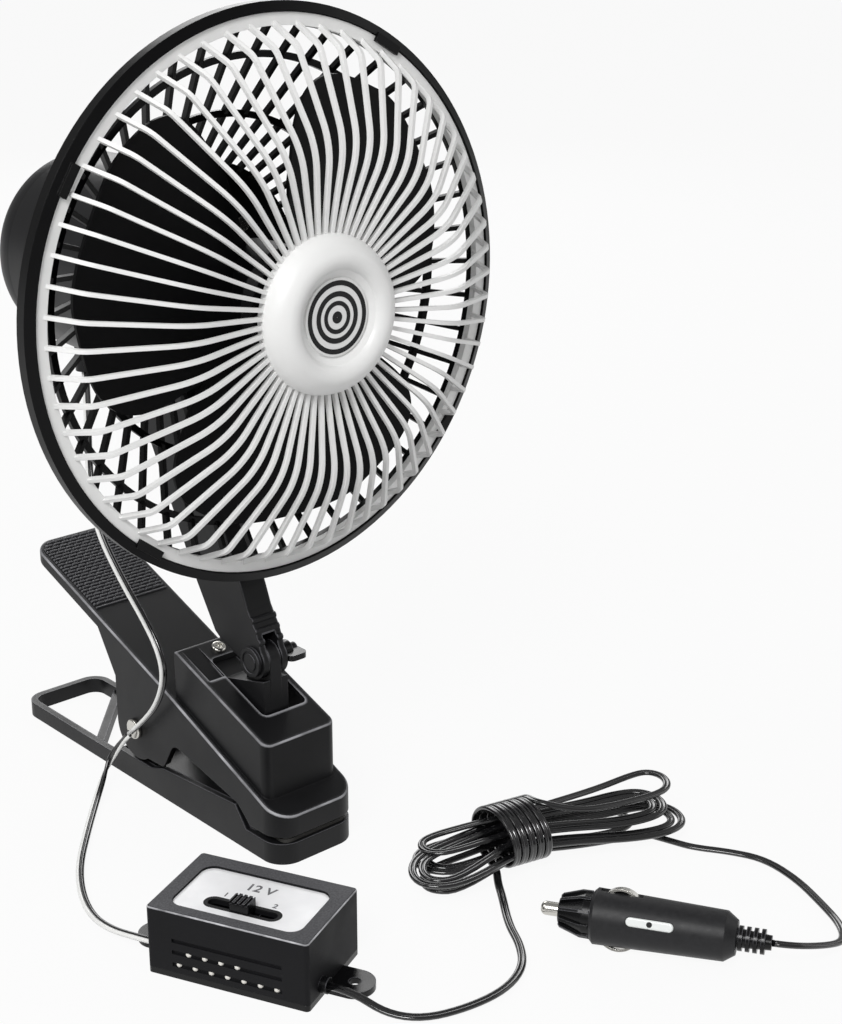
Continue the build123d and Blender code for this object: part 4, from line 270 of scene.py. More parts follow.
# The same ABS where a hand squeezes it: a lighter grey than the lever, with a painted highlight on the
# upward-facing edges of its bricks
GRIP_BLACK = Finish("abs_black_grip_edge_highlight", "29292c", "38383b", 0.4, Grain.SPARKED, 0.55, 0.02,
                    ior=1.52, specular=0.3, edge_mm=0.2, edge_highlight_colour="a2a2a6", edge_highlight_mm=0.3)
# ABS, moulded in a polished tool: long soft reflections, faint flow marks, fine painted highlight lines on
# its edges
GLOSS_BLACK = Finish("abs_black_polished_mould", "070708", "0c0c0e", 0.25, Grain.POLISHED, 4.0, 0.006,
                     ior=1.52, specular=0.26, edge_mm=0.45, edge_highlight_colour="5a5a5e", edge_highlight_mm=0.5)
# The same ABS on the switch box: dark sides, a painted lighter grey on its grained top where light falls, and
# a painted highlight on its rounded top edges
BOX_BLACK = Finish("abs_black_grained_box", "121214", "1d1d1f", 0.55, Grain.SPARKED, 0.7, 0.03,
                   ior=1.52, specular=0.12, edge_mm=0.1, patch_mm=14.0, rim_highlight_colour="d0d0d4",
                   top_light_colour="565659", painted_light_from_mm=25.0)
# Phenolic resin, the plug's turned-looking body: a dull dark grey with a fine speckle
PLUG_BLACK = Finish("phenolic_black_moulded", "171718", "2a2a2c", 0.44, Grain.FIRED, 0.8, 0.02,
                    ior=1.55, specular=0.24, edge_mm=0.4, patch_mm=2.2)
# ABS, the guard's open moulding: black and smooth, too thin in the rib for a painted edge highlight to show
GUARD_BLACK = Finish("abs_black_guard_mould", "050506", "080809", 0.36, Grain.POLISHED, 4.0, 0.006,
                     ior=1.52, specular=0.13, edge_mm=0.4)
# ABS, the fan blade's thin moulding: the darkest piece, with a low sheen
BLADE_BLACK = Finish("abs_black_blade_mould", "030304", "060607", 0.45, Grain.POLISHED, 3.0, 0.006,
                     specular=0.1, edge_mm=0.2)
# ABS, white moulding: chalky satin, a little greyer in the thick sections
PALE_GREY = Finish("abs_white_satin_moulded", "f4f4f3", "eaeae9", 0.38, Grain.SPARKED, 0.8, 0.012,
                   ior=1.52, edge_mm=0.3)
# Polystyrene badge insert, moulded and pad-printed: flat, slightly glossier than the hub round it
BADGE_GREY = Finish("polystyrene_badge_insert", "efefee", "e4e4e3", 0.3, Grain.POLISHED, 2.0, 0.004,
                    ior=1.59)
# Pad-printing ink: thin, dense and dull
PRINT_BLACK = Finish("pad_printed_black_ink", "0b0b0c", "121214", 0.6, Grain.SPARKED, 0.3, 0.004,
                     specular=0.3, edge_mm=0.05)
# The same ink where it has thinned on foil: a worn dark grey
PRINT_GREY = Finish("screen_printed_grey_ink", "4c4c4f", "7c7c7e", 0.55, Grain.SPARKED, 0.5, 0.004,
                    specular=0.3, edge_mm=0.05, patch_mm=1.6)
# Nickel plate on steel: bright, with the soft scratches of barrel plating
NICKEL = Finish("nickel_barrel_plated_steel", "d4d2cc", "bdbbb5", 0.2, Grain.DRAWN, 0.6, 0.004, metallic=1.0,
                rough_spread=0.07, patch_mm=5.0, edge_mm=0.2)
# Music wire, drawn and oil-tempered: dark steel with fine lines along the wire
SPRING_WIRE = Finish("music_wire_oil_tempered", "8b8a86", "5f5e5b", 0.34, Grain.DRAWN, 0.5, 0.005,
                     metallic=1.0, patch_mm=6.0, edge_mm=0.1)
# Deep-drawn steel can, zinc plated: a cool grey with a slight bloom
ZINC_CAN = Finish("zinc_plated_drawn_steel", "a7a9aa", "8d8f91", 0.38, Grain.DRAWN, 1.2, 0.005, metallic=1.0)
# Sintered bronze: oil-dark, porous
BRONZE = Finish("sintered_bronze_oiled", "9a6f3f", "7b5630", 0.45, Grain.SPARKED, 0.25, 0.01, metallic=1.0)
# Thermoplastic rubber pad: grey, soft, no shine
PAD_RUBBER = Finish("tpr_grey_moulded_pad", "4a4947", "3d3c3a", 0.72, Grain.SPARKED, 0.9, 0.03, specular=0.35)
# Aluminium foil label, coated white: a trace of metal under a clear lacquer
FOIL = Finish("aluminium_foil_white_coated", "efeff0", "e3e3e5", 0.42, Grain.DRAWN, 0.9, 0.003, metallic=0.08,
              coat=0.15, coat_roughness=0.25, patch_mm=9.0, edge_mm=0.15, stretch=(1.0, 0.25, 1.0))
# Steatite, fired: white, matt, faintly speckled
CERAMIC = Finish("steatite_fired_white", "eceae4", "dedbd3", 0.6, Grain.FIRED, 0.7, 0.01, ior=1.6)
# Plasticised PVC, extruded over two stranded wires: a wet-looking shine along each lobe
VINYL = Finish("pvc_black_extruded_cord", "0a0a0b", "111113", 0.17, Grain.EXTRUDED, 2.5, 0.012, ior=1.53,
               specular=0.6, coat=0.45, coat_roughness=0.12, rough_spread=0.04, edge_mm=0.1, patch_mm=9.0)
# The same PVC on the marked core of the cord from the fan to the box: white, a little dulled
WHITE_VINYL = Finish("pvc_white_marked_core", "f0f0ee", "e2e2e0", 0.3, Grain.EXTRUDED, 2.5, 0.012, ior=1.53,
                     edge_mm=0.1, patch_mm=9.0)
# Pressed glass of the fuse tube and the plug's lens: near white, smooth, bright
FUSE_GLASS = Finish("pressed_glass_milky", "f2f4f3", "e4e8e6", 0.08, Grain.POLISHED, 3.0, 0.002, ior=1.47)

# The CAD nodes that wear each finish
WORN_BY: dict[Finish, str] = {
    SATIN_BLACK: "lower_jaw pivot_post neck tilt_bolt motor_cover",
    LEVER_BLACK: "upper_jaw",
    GLOSS_BLACK: "box_base box_grommets switch_body switch_knob wing_nut blade_nut cord_gland plug_cap "
                 "strain_relief",
    BOX_BLACK: "box_cover",
    PLUG_BLACK: "plug_body",
    GUARD_BLACK: "rear_guard",
    BLADE_BLACK: "fan_blade",
    PALE_GREY: "front_grille",
    BADGE_GREY: "hub_badge",
    NICKEL: "hinge_pin post_screw guard_screws box_screws plug_tip side_contacts motor_shaft",
    ZINC_CAN: "motor_can motor_plate",
    BRONZE: "motor_bushes",
    PAD_RUBBER: "lower_pad upper_pad friction_washers",
    FOIL: "label_plate",
    CERAMIC: "ceramic_resistor",
    FUSE_GLASS: "plug_fuse pilot_lens",
}


def show(name: str, data: bpy.types.ID) -> bpy.types.Object:
    """Makes an object and puts it in the scene.

    Args:
        name: Name of the object.
        data: Its mesh, curve, camera or lamp.

    Returns:
        The new object.
    """
    made = bpy.data.objects.new(name, data)
    bpy.context.scene.collection.objects.link(made)
    return made


def place(name: str, skin: Skin, finish: Finish, slot: str, body: str | None,
          smooth: bool = False) -> bpy.types.Object:
    """Makes one mesh piece and sets it on the body that carries it.

    Args:
        name: Name of the piece.
        skin: Its points in metres, in the part's frame, and its faces.
        finish: Finish that it wears.
        slot: Name of a material slot of the record; not used.
        body: Body that carries it, or None for a piece that bends between two.
        smooth: Whether its faces are shaded as one curved surface.

    Returns:
        The new object.
    """
    mesh = bpy.data.meshes.new(name)
    mesh.from_pydata([tuple(p) for p in skin.points], [], skin.faces)
    mesh.materials.append(finish.material())
    mesh.polygons.foreach_set("use_smooth", [smooth] * len(mesh.polygons))
    mesh.update()
    piece = show(name, mesh)
    if body is not None:
        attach(piece, body)
    log.info("%s: %d faces", name, len(skin.faces))
    return piece


def shape_of(name: str, data: bpy.types.Curve) -> Skin:
    """Reads the mesh that Blender makes of a curve or of type, and removes the curve.

    Args:
        name: Name for the working object.
        data: The curve.

    Returns:
        Its points and faces.
    """
    made = show(name + "_line", data)
    bpy.context.view_layer.update()
    mesh = bpy.data.meshes.new_from_object(made)
    skin = Skin([v.co.copy() for v in mesh.vertices], [tuple(face.vertices) for face in mesh.polygons])
    bpy.data.objects.remove(made)
    bpy.data.curves.remove(data)
    bpy.data.meshes.remove(mesh)
    return skin


class Lamp(NamedTuple):
    """One soft square lamp: its place and its side in metres, and its power in watts."""

    name: str
    at: Point
    side: float
    watts: float


@dataclass
class Studio:
    """Pale floor, soft lamps and the camera."""

    camera_at: Point = (-0.4124, -0.6182, 0.3837)
    azimuth_deg: float = -41.98
    elevation_deg: float = 19.76
    lens_mm: float = 65.61
    sensor_mm: float = 36.0
    clip: Pair = (0.05, 60.0)
    floor_half: float = 9.0
    floor_colour: str = "cccccc"
    floor_share: float = 0.93
    white: str = "ffffff"
    sky_level: float = 0.34
    aim: Point = (0.0, -0.08, 0.16)
    lamps: tuple[Lamp, ...] = (
        Lamp("key", (-1.1, -0.72, 1.2), 0.7, 16.0), Lamp("fill", (1.25, -0.85, 0.7), 0.9, 2.5),
        Lamp("back", (0.8, 1.2, 0.85), 0.8, 8.0), Lamp("rim", (-1.0, 0.42, 1.15), 0.6, 4.0),
        Lamp("glint", (-0.9, -0.75, 1.25), 0.16, 2.0),
    )

    def build(self) -> None:
        """Makes the camera, the floor, the sky and the lamps."""
        self.camera()
        self.floor()
        self.sky()
        for lamp in self.lamps:
            self.hang(lamp)
        bpy.context.scene.view_settings.view_transform = "Standard"

    def camera(self) -> None:
        """Sets the camera at the photograph's place."""
        data = bpy.data.cameras.new("camera")
        data.sensor_width, data.lens = self.sensor_mm, self.lens_mm
        data.clip_start, data.clip_end = self.clip
        made = show("camera", data)
        turn, rise = math.radians(self.azimuth_deg), math.radians(self.elevation_deg)
        back = Vector((math.sin(turn) * math.cos(rise), -math.cos(turn) * math.cos(rise), math.sin(rise)))
        made.location = self.camera_at
        made.rotation_mode = "QUATERNION"
        made.rotation_quaternion = (-back).to_track_quat("-Z", "Y")
        bpy.context.scene.camera = made

    def floor(self) -> None:
        """Lays a pale floor that reads white to the camera and still takes the shadow."""
        half = self.floor_half
        mesh = bpy.data.meshes.new("floor")
        corners = [(-half, -half, 0), (half, -half, 0), (half, half, 0), (-half, half, 0)]
        mesh.from_pydata(corners, [], [(0, 1, 2, 3)])
        paper = bpy.data.materials.new("studio_paper")
        paper.use_nodes = True
        tree = paper.node_tree
        tree.nodes.clear()
        matt = node(tree, "ShaderNodeBsdfDiffuse", None, {"Color": linear(self.floor_colour)})
        white = node(tree, "ShaderNodeEmission", None, {"Color": linear(self.white), "Strength": 1.0})
        path = node(tree, "ShaderNodeLightPath").outputs
        seen = maths(tree, "MAXIMUM", path["Is Camera Ray"], path["Is Glossy Ray"])
        seen = maths(tree, "MAXIMUM", seen, path["Is Transmission Ray"])
        share = maths(tree, "MULTIPLY", seen, self.floor_share)
        both = node(tree, "ShaderNodeMixShader", {0: share, 1: matt.outputs[0], 2: white.outputs[0]})
        node(tree, "ShaderNodeOutputMaterial", {"Surface": both.outputs[0]})
        mesh.materials.append(paper)
        show("floor", mesh)

    def sky(self) -> None:
        """Fills the room with even light, white where it is seen."""
        world = bpy.data.worlds.new("studio")
        world.use_nodes = True
        tree = world.node_tree
        tree.nodes.clear()
        path = node(tree, "ShaderNodeLightPath").outputs
        seen = maths(tree, "MAXIMUM", path["Is Camera Ray"], path["Is Transmission Ray"])
        lit, white = (
            node(tree, "ShaderNodeBackground", None, {"Color": linear(self.white), "Strength": level})
            for level in (self.sky_level, 1.0))
        both = node(tree, "ShaderNodeMixShader", {0: seen, 1: lit.outputs[0], 2: white.outputs[0]})
        node(tree, "ShaderNodeOutputWorld", {"Surface": both.outputs[0]})
        bpy.context.scene.world = world

    def hang(self, lamp: Lamp) -> None:
        """Hangs one lamp that looks at the fan.

        Args:
            lamp: The lamp.
        """
        data = bpy.data.lights.new(lamp.name, "AREA")
        data.energy, data.size = lamp.watts, lamp.side
        made = show(lamp.name, data)
        made.location = lamp.at
        made.rotation_mode = "QUATERNION"
        made.rotation_quaternion = (Vector(self.aim) - Vector(lamp.at)).to_track_quat("-Z", "Y")


# How far a loop's end bulges past a half circle, at its far point and at 45 degrees
FAR = 1.04
SLANT = 1.06 * math.sqrt(0.5)
# Points of a loop from the waist's near side round the right end: shares of the arm (minus for the left one)
# and the lobe that add up to U, of the waist and the lobe that add up to V, and of the drop from the waist
LOOP: tuple[tuple[float, ...], ...] = (
    (0, 0, -1, 0, 0), (0.36, 0, -0.72, -0.28, 0.3), (0.72, 0, -0.2, -0.8, 0.85), (1, 0, 0, -1, 1),
    (1, SLANT, 0, -SLANT, 1), (1, FAR, 0, 0, 1), (1, SLANT, 0, SLANT, 1), (1, 0, 0, 1, 1),
    (0.72, 0, 0.2, 0.8, 0.85), (0.36, 0, 0.72, 0.28, 0.3), (0, 0, 1, 0, 0), (-0.55, 0, 0.5, 0.5, 0.5),
    (-1, -0.4, 0, 1, 1), (-1, -FAR, 0, 0.35, 1), (-1, -FAR, 0, -0.45, 1), (-1, -0.1, 0, -1, 1),
)


class End(NamedTuple):
    """One end of the bundle: how far each layer reaches, sways to the side and lifts, in millimetres."""

    reach: tuple[float, ...]
    sway: tuple[float, ...]
    lift: tuple[float, ...]


@dataclass
class Bundle:
    """The tied bundle of spare cord, with U along it from the tied waist and V across it, in millimetres."""

    at: Point = (54.0, -155.0, 0.0)
    yaw_deg: float = -13.4
    right: End = End((72.0, 63.0, 67.0, 57.0), (3.5, -2.5, -6.0, 4.5), (3.0, 1.5, 0.5, 0.0))
    left: End = End((35.0, 40.0, 34.0, 37.5), (7.0, -5.0, 4.5, -2.0), (-1.5, 0.0, 0.0, 0.0))
    lobe: float = 6.8
    waist: float = 2.0
    step: float = 4.2
    layer: float = 3.7
    drop: float = 5.5
    turns: tuple[int, ...] = (1, 2, 2, 1)
    first_spot: int = 3
    wrap_half_v: float = 14.9
    wrap_half_z: float = 11.1
    wrap_pitch: float = 3.6
    wrap_turns: float = 5.5
    wrap_spots: int = 12
    cord_r: float = 1.55
    entry: tuple[Pair, Pair] = ((-16.0, -15.0), (-11.3, -6.0))
    leaving: Route = ((4.0, -4.6, -0.4), (13.0, -7.4, -3.4), (24.0, -9.4, -5.2))
    tail: Route = ((24.0, -7.8, 3.4), (46.0, -9.0, 1.55), (57.0, -11.0, 1.55), (60.5, -16.6, 1.55),
                   (63.0, -21.0, 1.55))

    def spot(self, u: float, v: float, z: float) -> Point:
        """Place of one point of the bundle.

        Args:
            u: Distance along the bundle.
            v: Distance across it.
            z: Height.

        Returns:
            The point in metres, in the part's frame.
        """
        turn = math.radians(self.yaw_deg)
        x = self.at[0] + u * math.cos(turn) - v * math.sin(turn)
        y = self.at[1] + u * math.sin(turn) + v * math.cos(turn)
        return (x * MM, y * MM, z * MM)

    def points(self) -> list[Point]:
        """Works out the bundle's route: the tying turns first, then the loops from the top layer down.

        Returns:
            Control points in metres.
        """
        middle = self.cord_r + self.wrap_half_z
        start = -self.wrap_pitch * self.wrap_turns / 2
        route = [self.spot(u, v, self.cord_r) for u, v in self.entry]
        grow = 1 / math.cos(math.pi / self.wrap_spots)
        count = round(self.wrap_turns * self.wrap_spots)
        for i in range(count + 1):
            turn = 2 * math.pi * i / self.wrap_spots - math.pi / 2
            low = 1.0 if i in (0, count) else grow
            route.append(self.spot(start + self.wrap_pitch * i / self.wrap_spots,
                                   self.wrap_half_v * low * math.cos(turn),
                                   middle + self.wrap_half_z * low * math.sin(turn)))
        top = middle + self.wrap_half_z
        route += [self.spot(u - start, v, top + z) for u, v, z in self.leaving]
        for level, turns in enumerate(self.turns):
            height = middle + ((len(self.turns) - 1) / 2 - level) * self.layer
            for step in range(0 if level else self.first_spot, len(LOOP) * turns):
                share = step / len(LOOP)
                out = (share if level % 2 else turns - share) * self.step
                route.append(self.loop_spot(step % len(LOOP), out, height, level))
        route.append(self.spot(0.0, -self.waist - self.turns[-1] * self.step, height))
        route += [self.spot(*point) for point in self.tail]
        return route

    def loop_spot(self, spot: int, out: float, height: float, level: int) -> Point:
        """One of the points of a loop.

        Args:
            spot: Number of the point in LOOP.
            out: How far the loop lies outside the innermost one.
            height: Height of the layer at the waist.
            level: Number of the layer, from the top.

        Returns:
            The point in metres.
        """
        arm, past, near, aside, fall = LOOP[spot]
        end = self.right if arm > 0 else self.left
        reach = end.reach[level] - self.lobe
        u = arm * reach + past * (self.lobe + out)
        along = abs(u) / reach
        v = near * (self.waist + out) + aside * (self.lobe + out) + end.sway[level] * along
        return self.spot(u, v, height - fall * self.drop + end.lift[level] * along ** 2)


@dataclass
class Cords:
    """The flat twin cord in its three free lengths."""

    lobe_r: float = 0.84
    lobe_at: float = 0.82
    lobe_turns: tuple[float, ...] = (-150.0, -122.0, -92.0, -56.0, -20.0, 20.0, 56.0, 92.0, 122.0, 150.0)
    white_core: tuple[int, ...] = (11, 12, 13, 14, 15, 16, 17)
    half_twist: float = 32.0
    level_least: float = 0.45
    level_pull: float = 0.22
    spline_steps: int = 5
    closest: float = 0.2
    head_across: Point = (0.6, -0.8, 0.0)
    middle_across: Point = (0.0, -0.8, -0.6)
    supply_across: Point = (0.9, 0.4, 0.0)
    bend_start: Point = (-0.010, 0.040, 0.168)
    bend_end: Point = (-0.0252, -0.0185, 0.0836)
    on_middle: tuple[str, ...] = (
        "box_base", "box_cover", "label_plate", "switch_body", "switch_knob", "ceramic_resistor",
        "box_screws", "box_grommets", "vent_beads", "slot_border", "label_mark_0", "label_mark_1",
        "label_mark_2", "label_mark_3",
    )
    on_supply: tuple[str, ...] = (
        "plug_body", "plug_cap", "strain_relief", "plug_tip", "side_contacts", "pilot_lens", "plug_fuse",
        "plug_fins", "lens_dot", "tip_spring_wire",
    )
    bundle: Bundle = field(default_factory=Bundle)
    head_route: Route = (
        (-10.0, 40.0, 174.85), (-10.0, 40.0, 158.85), (-12.0, 38.4, 139.0), (-16.2, 31.4, 122.0),
        (-20.2, 20.0, 108.6), (-23.4, -1.5, 94.0), (-25.2, -18.5, 83.6), (-25.8, -28.8, 74.0),
        (-25.8, -32.0, 64.0), (-25.8, -28.0, 52.0), (-25.8, -18.5, 39.6), (-25.8, -3.6, 26.8),
    )
    middle_route: Route = (
        (-25.9, -3.2, 26.4), (-26.8, 5.0, 17.6), (-31.0, 8.0, 9.0), (-39.0, 2.0, 2.8), (-50.0, -10.0, 1.6),
        (-64.0, -26.5, 1.6), (-79.0, -45.0, 1.6), (-89.5, -63.0, 1.6), (-95.6, -80.0, 1.8),
        (-97.2, -95.6, 4.0), (-94.75, -107.63, 5.6), (-91.0, -115.81, 5.6),
    )
    out_route: Route = (
        (-61.51, -180.07, 5.6), (-57.76, -188.25, 5.6), (-54.2, -202.0, 2.0), (-46.0, -212.6, 1.6),
        (-30.0, -218.0, 1.6), (-13.0, -219.0, 1.6), (1.5, -213.4, 1.6), (11.0, -202.4, 1.6),
        (17.4, -189.6, 1.6), (29.87, -173.31, 1.55),
    )
    lead_route: Route = (
        (112.99, -198.65, 1.55), (121.4, -211.0, 1.6), (127.0, -224.0, 1.6), (124.0, -242.0, 1.6),
        (117.0, -258.5, 1.6), (110.0, -273.0, 1.6), (100.0, -281.8, 3.0), (88.0, -282.4, 6.5),
        (72.39, -278.13, 11.0), (68.73, -272.16, 11.0),
    )

    def build(self) -> None:
        """Lays the three lengths and hides the model's cords that they stand for."""
        head = self.in_metres(self.head_route)
        piece, line = self.lay("cord_head_flex", head, None, self.head_across, self.white_core)
        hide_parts("cord_head")
        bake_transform(piece)
        middle = self.in_metres(self.middle_route)
        piece, line = self.lay("cord_middle_flex", middle, "base", self.middle_across, self.white_core,
                               self.half_twist * MM)
        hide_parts("cord_mid")
        supply = self.in_metres(self.out_route) + self.bundle.points() + self.in_metres(self.lead_route)
        piece, line = self.lay("cord_supply_flex", supply, "base", self.supply_across)
        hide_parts("cord_out", "cord_hank", "cord_lead")

    @staticmethod
    def in_metres(route: Route) -> list[Point]:
        """Turns a route to metres.

        Args:
            route: Points in millimetres.

        Returns:
            The points in metres.
        """
        return [(x * MM, y * MM, z * MM) for x, y, z in route]

    @staticmethod
    def length(line: list[Vector]) -> float:
        """Length along a line.

        Args:
            line: Points in metres.

        Returns:
            The length in metres.
        """
        return sum((b - a).length for a, b in zip(line, line[1:]))

    def smooth_line(self, name: str, route: list[Point]) -> list[Vector]:
        """Reads the points of the smooth spline that a route's control points give.

        Args:
            name: Name for the working curve.
            route: Control points in metres.

        Returns:
            Points along the spline.
        """
        data = bpy.data.curves.new(name, "CURVE")
        data.dimensions = "3D"
        spline = data.splines.new("NURBS")
        spline.points.add(len(route) - 1)
        for point, (x, y, z) in zip(spline.points, route):
            point.co = (x, y, z, 1.0)
        spline.order_u = 3
        spline.use_endpoint_u = True
        spline.resolution_u = self.spline_steps
        line: list[Vector] = []
        for point in shape_of(name, data).points:
            if not line or (point - line[-1]).length > self.closest * MM:
                line.append(point)
        return line

    def profile(self) -> list[Pair]:
        """Outline of the flat cord: two round lobes and the web between them, in millimetres.

        Returns:
            Points (across, through), anticlockwise.
        """
        return [(side * (self.lobe_at + self.lobe_r * math.cos(turn)), side * self.lobe_r * math.sin(turn))
                for side in (1, -1) for turn in map(math.radians, self.lobe_turns)]

    def lay(self, name: str, route: list[Point], body: str | None, across: Point, white: tuple[int, ...] = (),
            twist: float = 0.0) -> tuple[bpy.types.Object, list[Vector]]:
        """Makes one length of cord along a route, its flat side lying down where it can.

        Args:
            name: Name of the piece.
            route: Control points in metres.
            body: Body that carries it, or None where it bends between two.
            across: Rough direction of the cord's width at its start.
            white: Faces round the cord that are white, where one of its cores is marked.
            twist: Length in metres, from its start, over which it makes half a turn, or 0 for none.

        Returns:
            The piece and the line that it follows.
        """
        line = self.smooth_line(name, route)
        ring = self.profile()
        rings: list[list[Vector]] = []
        wide, far = Vector(across), 0.0
        for i, here in enumerate(line):
            ahead = (line[min(i + 1, len(line) - 1)] - line[max(i - 1, 0)]).normalized()
            wide = (wide - ahead * wide.dot(ahead)).normalized()
            level = ahead.cross(UP)
            if level.length > self.level_least:
                level = level.normalized() * (1 if level.dot(wide) >= 0 else -1)
                wide = wide.lerp(level, self.level_pull)
                wide = (wide - ahead * wide.dot(ahead)).normalized()
            far += (here - line[max(i - 1, 0)]).length
            left = max(0.0, 1 - far / twist) if twist else 0.0
            turn = math.pi * left * left * (3 - 2 * left)
            flat = wide * math.cos(turn) + ahead.cross(wide) * math.sin(turn)
            thick = ahead.cross(flat)
            rings.append([here + (flat * a + thick * b) * MM for a, b in ring])
        skin = Skin()
        skin.loft(rings)
        piece = place(name, skin, VINYL, "cord_vinyl", body, smooth=True)
        if white:
            piece.data.materials.append(WHITE_VINYL.material())
            for i, face in enumerate(piece.data.polygons[:-CAPS]):
                face.material_index = int(i % len(ring) in white)
        return piece, line


@dataclass(frozen=True)
class Seat:
    """Place and directions that small pieces are set out from, in millimetres."""

    origin: Point
    along: Point
    across: Point
    up: Point

    def spot(self, x: float, y: float, z: float) -> Vector:
        """Turns a local point to metres in the part's frame.

        Args:
            x: Distance along.
            y: Distance across.
            z: Height.

        Returns:
            The point in metres.
        """
        step = Vector(self.along) * x + Vector(self.across) * y + Vector(self.up) * z
        return (Vector(self.origin) + step) * MM


# Faces that close a loft's ends, which come after its sides
CAPS = 2


@dataclass
class Skin:
    """Points and faces of a piece while it is made."""

    points: list[Vector] = field(default_factory=list)
    faces: list[tuple[int, ...]] = field(default_factory=list)

    def loft(self, rings: list[list[Vector]], loop: bool = False) -> None:
        """Joins rings with faces, and closes both ends unless the last ring meets the first.

        Args:
            rings: Rings of equal count, each in the same sense.
            loop: Whether the last ring joins the first.
        """
        first, size = len(self.points), len(rings[0])
        for ring in rings:
            self.points += ring
        starts = [first + i * size for i in range(len(rings))]
        for a, b in zip(starts, starts[1:] + starts[:1] if loop else starts[1:]):
            self.faces += [(a + j, a + (j + 1) % size, b + (j + 1) % size, b + j) for j in range(size)]
        if not loop:
            self.faces.append(tuple(first + j for j in reversed(range(size))))
            self.faces.append(tuple(starts[-1] + j for j in range(size)))

    def block(self, seat: Seat, middle: Pair, foot: Pair, head: Pair, low: float, high: float) -> None:
        """Adds a small raised block with sloping sides.

        Args:
            seat: Where it stands.
            middle: Its middle on the seat.
            foot: Half length and half width at its foot.
            head: Half length and half width at its top.
            low: Height of its foot.
            high: Height of its top.
        """
        corners = ((-1, -1), (1, -1), (1, 1), (-1, 1))
        self.loft([[seat.spot(middle[0] + i * half[0], middle[1] + j * half[1], z) for i, j in corners]
                   for half, z in ((foot, low), (head, high))])

    def band(self, seat: Seat, inner: list[Pair], outer: list[Pair], low: float, high: float) -> None:
        """Adds a flat closed band between two outlines.

        Args:
            seat: Where it lies.
            inner: Points of its inner outline.
            outer: As many points of its outer outline.
            low: Height of its underside.
            high: Height of its top.
        """
        self.loft([[seat.spot(*i, low), seat.spot(*o, low), seat.spot(*o, high), seat.spot(*i, high)]
                   for i, o in zip(inner, outer)], loop=True)


def circle(radius: float, count: int) -> list[Pair]:
    """Points round a circle.

    Args:
        radius: Its radius.
        count: Number of points.

    Returns:
        Points, anticlockwise.
    """
    turns = [2 * math.pi * i / count for i in range(count)]
    return [(radius * math.cos(turn), radius * math.sin(turn)) for turn in turns]


def stadium(length: float, width: float, middle: Pair, count: int) -> list[Pair]:
    """Points round a slot with round ends.

    Args:
        length: Overall length.
        width: Overall width.
        middle: Its middle.
        count: Points on each end.

    Returns:
        Points, anticlockwise.
    """
    radius, half = width / 2, (length - width) / 2
    turns = [math.pi * i / (count - 1) - math.pi / 2 for i in range(count)]
    return [(middle[0] + side * (half + radius * math.cos(turn)), middle[1] + side * radius * math.sin(turn))
            for side in (1, -1) for turn in turns]


@dataclass
class Grip:
    """Moulded grip of the upper lever's handle: rows of low bricks down its slope, and a bar below them."""

    seat: Seat = Seat((0.0, 77.0, 89.3), (1.0, 0.0, 0.0), (0.0, -0.93747, -0.34793),
                      (0.0, -0.34793, 0.93747))
    start: float = 3.2
    pitch: float = 1.95
    rows: int = 24
    brick: float = 4.2
    gap: float = 0.5
    half_width: float = 18.2
    corner_at: float = 9.6
    corner_r: float = 9.0
    corner_x: float = 11.5
    inset: float = 2.1
    foot: float = 0.62
    head: float = 0.36
    slope: float = 0.25
    tall: float = 0.55
    sink: float = -0.05
    side_bricks: int = 6
    least: float = 1.0
    bar_gap: float = 0.4
    bar_foot: float = 0.45
    bar_head: Pair = (0.2, 0.25)
    bar_tall: float = 0.5

    def reach(self, s: float) -> float:
        """Half width of the grip at a distance from the handle's end.

        Args:
            s: Distance down the slope.

        Returns:
            Half width in millimetres.
        """
        if s >= self.corner_at:
            return self.half_width
        short = self.corner_at - s
        bulge = math.sqrt(max(0.0, self.corner_r ** 2 - short ** 2))
        return min(self.half_width, self.corner_x + bulge - self.inset)

    def build(self) -> None:
        """Makes the bricks and the bar."""
        skin = Skin()
        for row in range(self.rows):
            s = self.start + row * self.pitch
            limit = self.reach(s)
            shift = self.brick / 2 if row % 2 else 0.0
            for i in range(-self.side_bricks, self.side_bricks + 1):
                middle, half = i * self.brick + shift, (self.brick - self.gap) / 2
                low, high = max(middle - half, -limit), min(middle + half, limit)
                if high - low > self.least:
                    half = (high - low) / 2
                    skin.block(self.seat, ((low + high) / 2, s), (half, self.foot),
                               (half - self.slope, self.head), self.sink, self.tall)
        end = self.start + self.rows * self.pitch + self.bar_gap
        skin.block(self.seat, (0.0, end), (self.half_width, self.bar_foot),
                   (self.half_width - self.bar_head[0], self.bar_head[1]), self.sink, self.bar_tall)
        place("handle_grip", skin, GRIP_BLACK, "black_moulded_plastic", "upper_clip")


@dataclass
class Badge:
    """Printed rings on the hub's badge."""

    seat: Seat = Seat((0.0, -83.0, 224.0), (1.0, 0.0, 0.0), (0.0, 0.0, 1.0), (0.0, -1.0, 0.0))
    face_a: float = 32.2
    ink: float = 0.12
    sink: float = 0.04
    rings: tuple[Pair, ...] = ((11.6, 13.4), (7.6, 9.5), (4.4, 6.0), (0.15, 2.2))
    count: int = 72

    def build(self) -> None:
        """Makes the rings."""
        skin = Skin()
        for inner, outer in self.rings:
            skin.band(self.seat, circle(inner, self.count), circle(outer, self.count),
                      self.face_a - self.sink, self.face_a + self.ink)
        place("badge_rings", skin, PRINT_BLACK, "badge_plastic", "head")


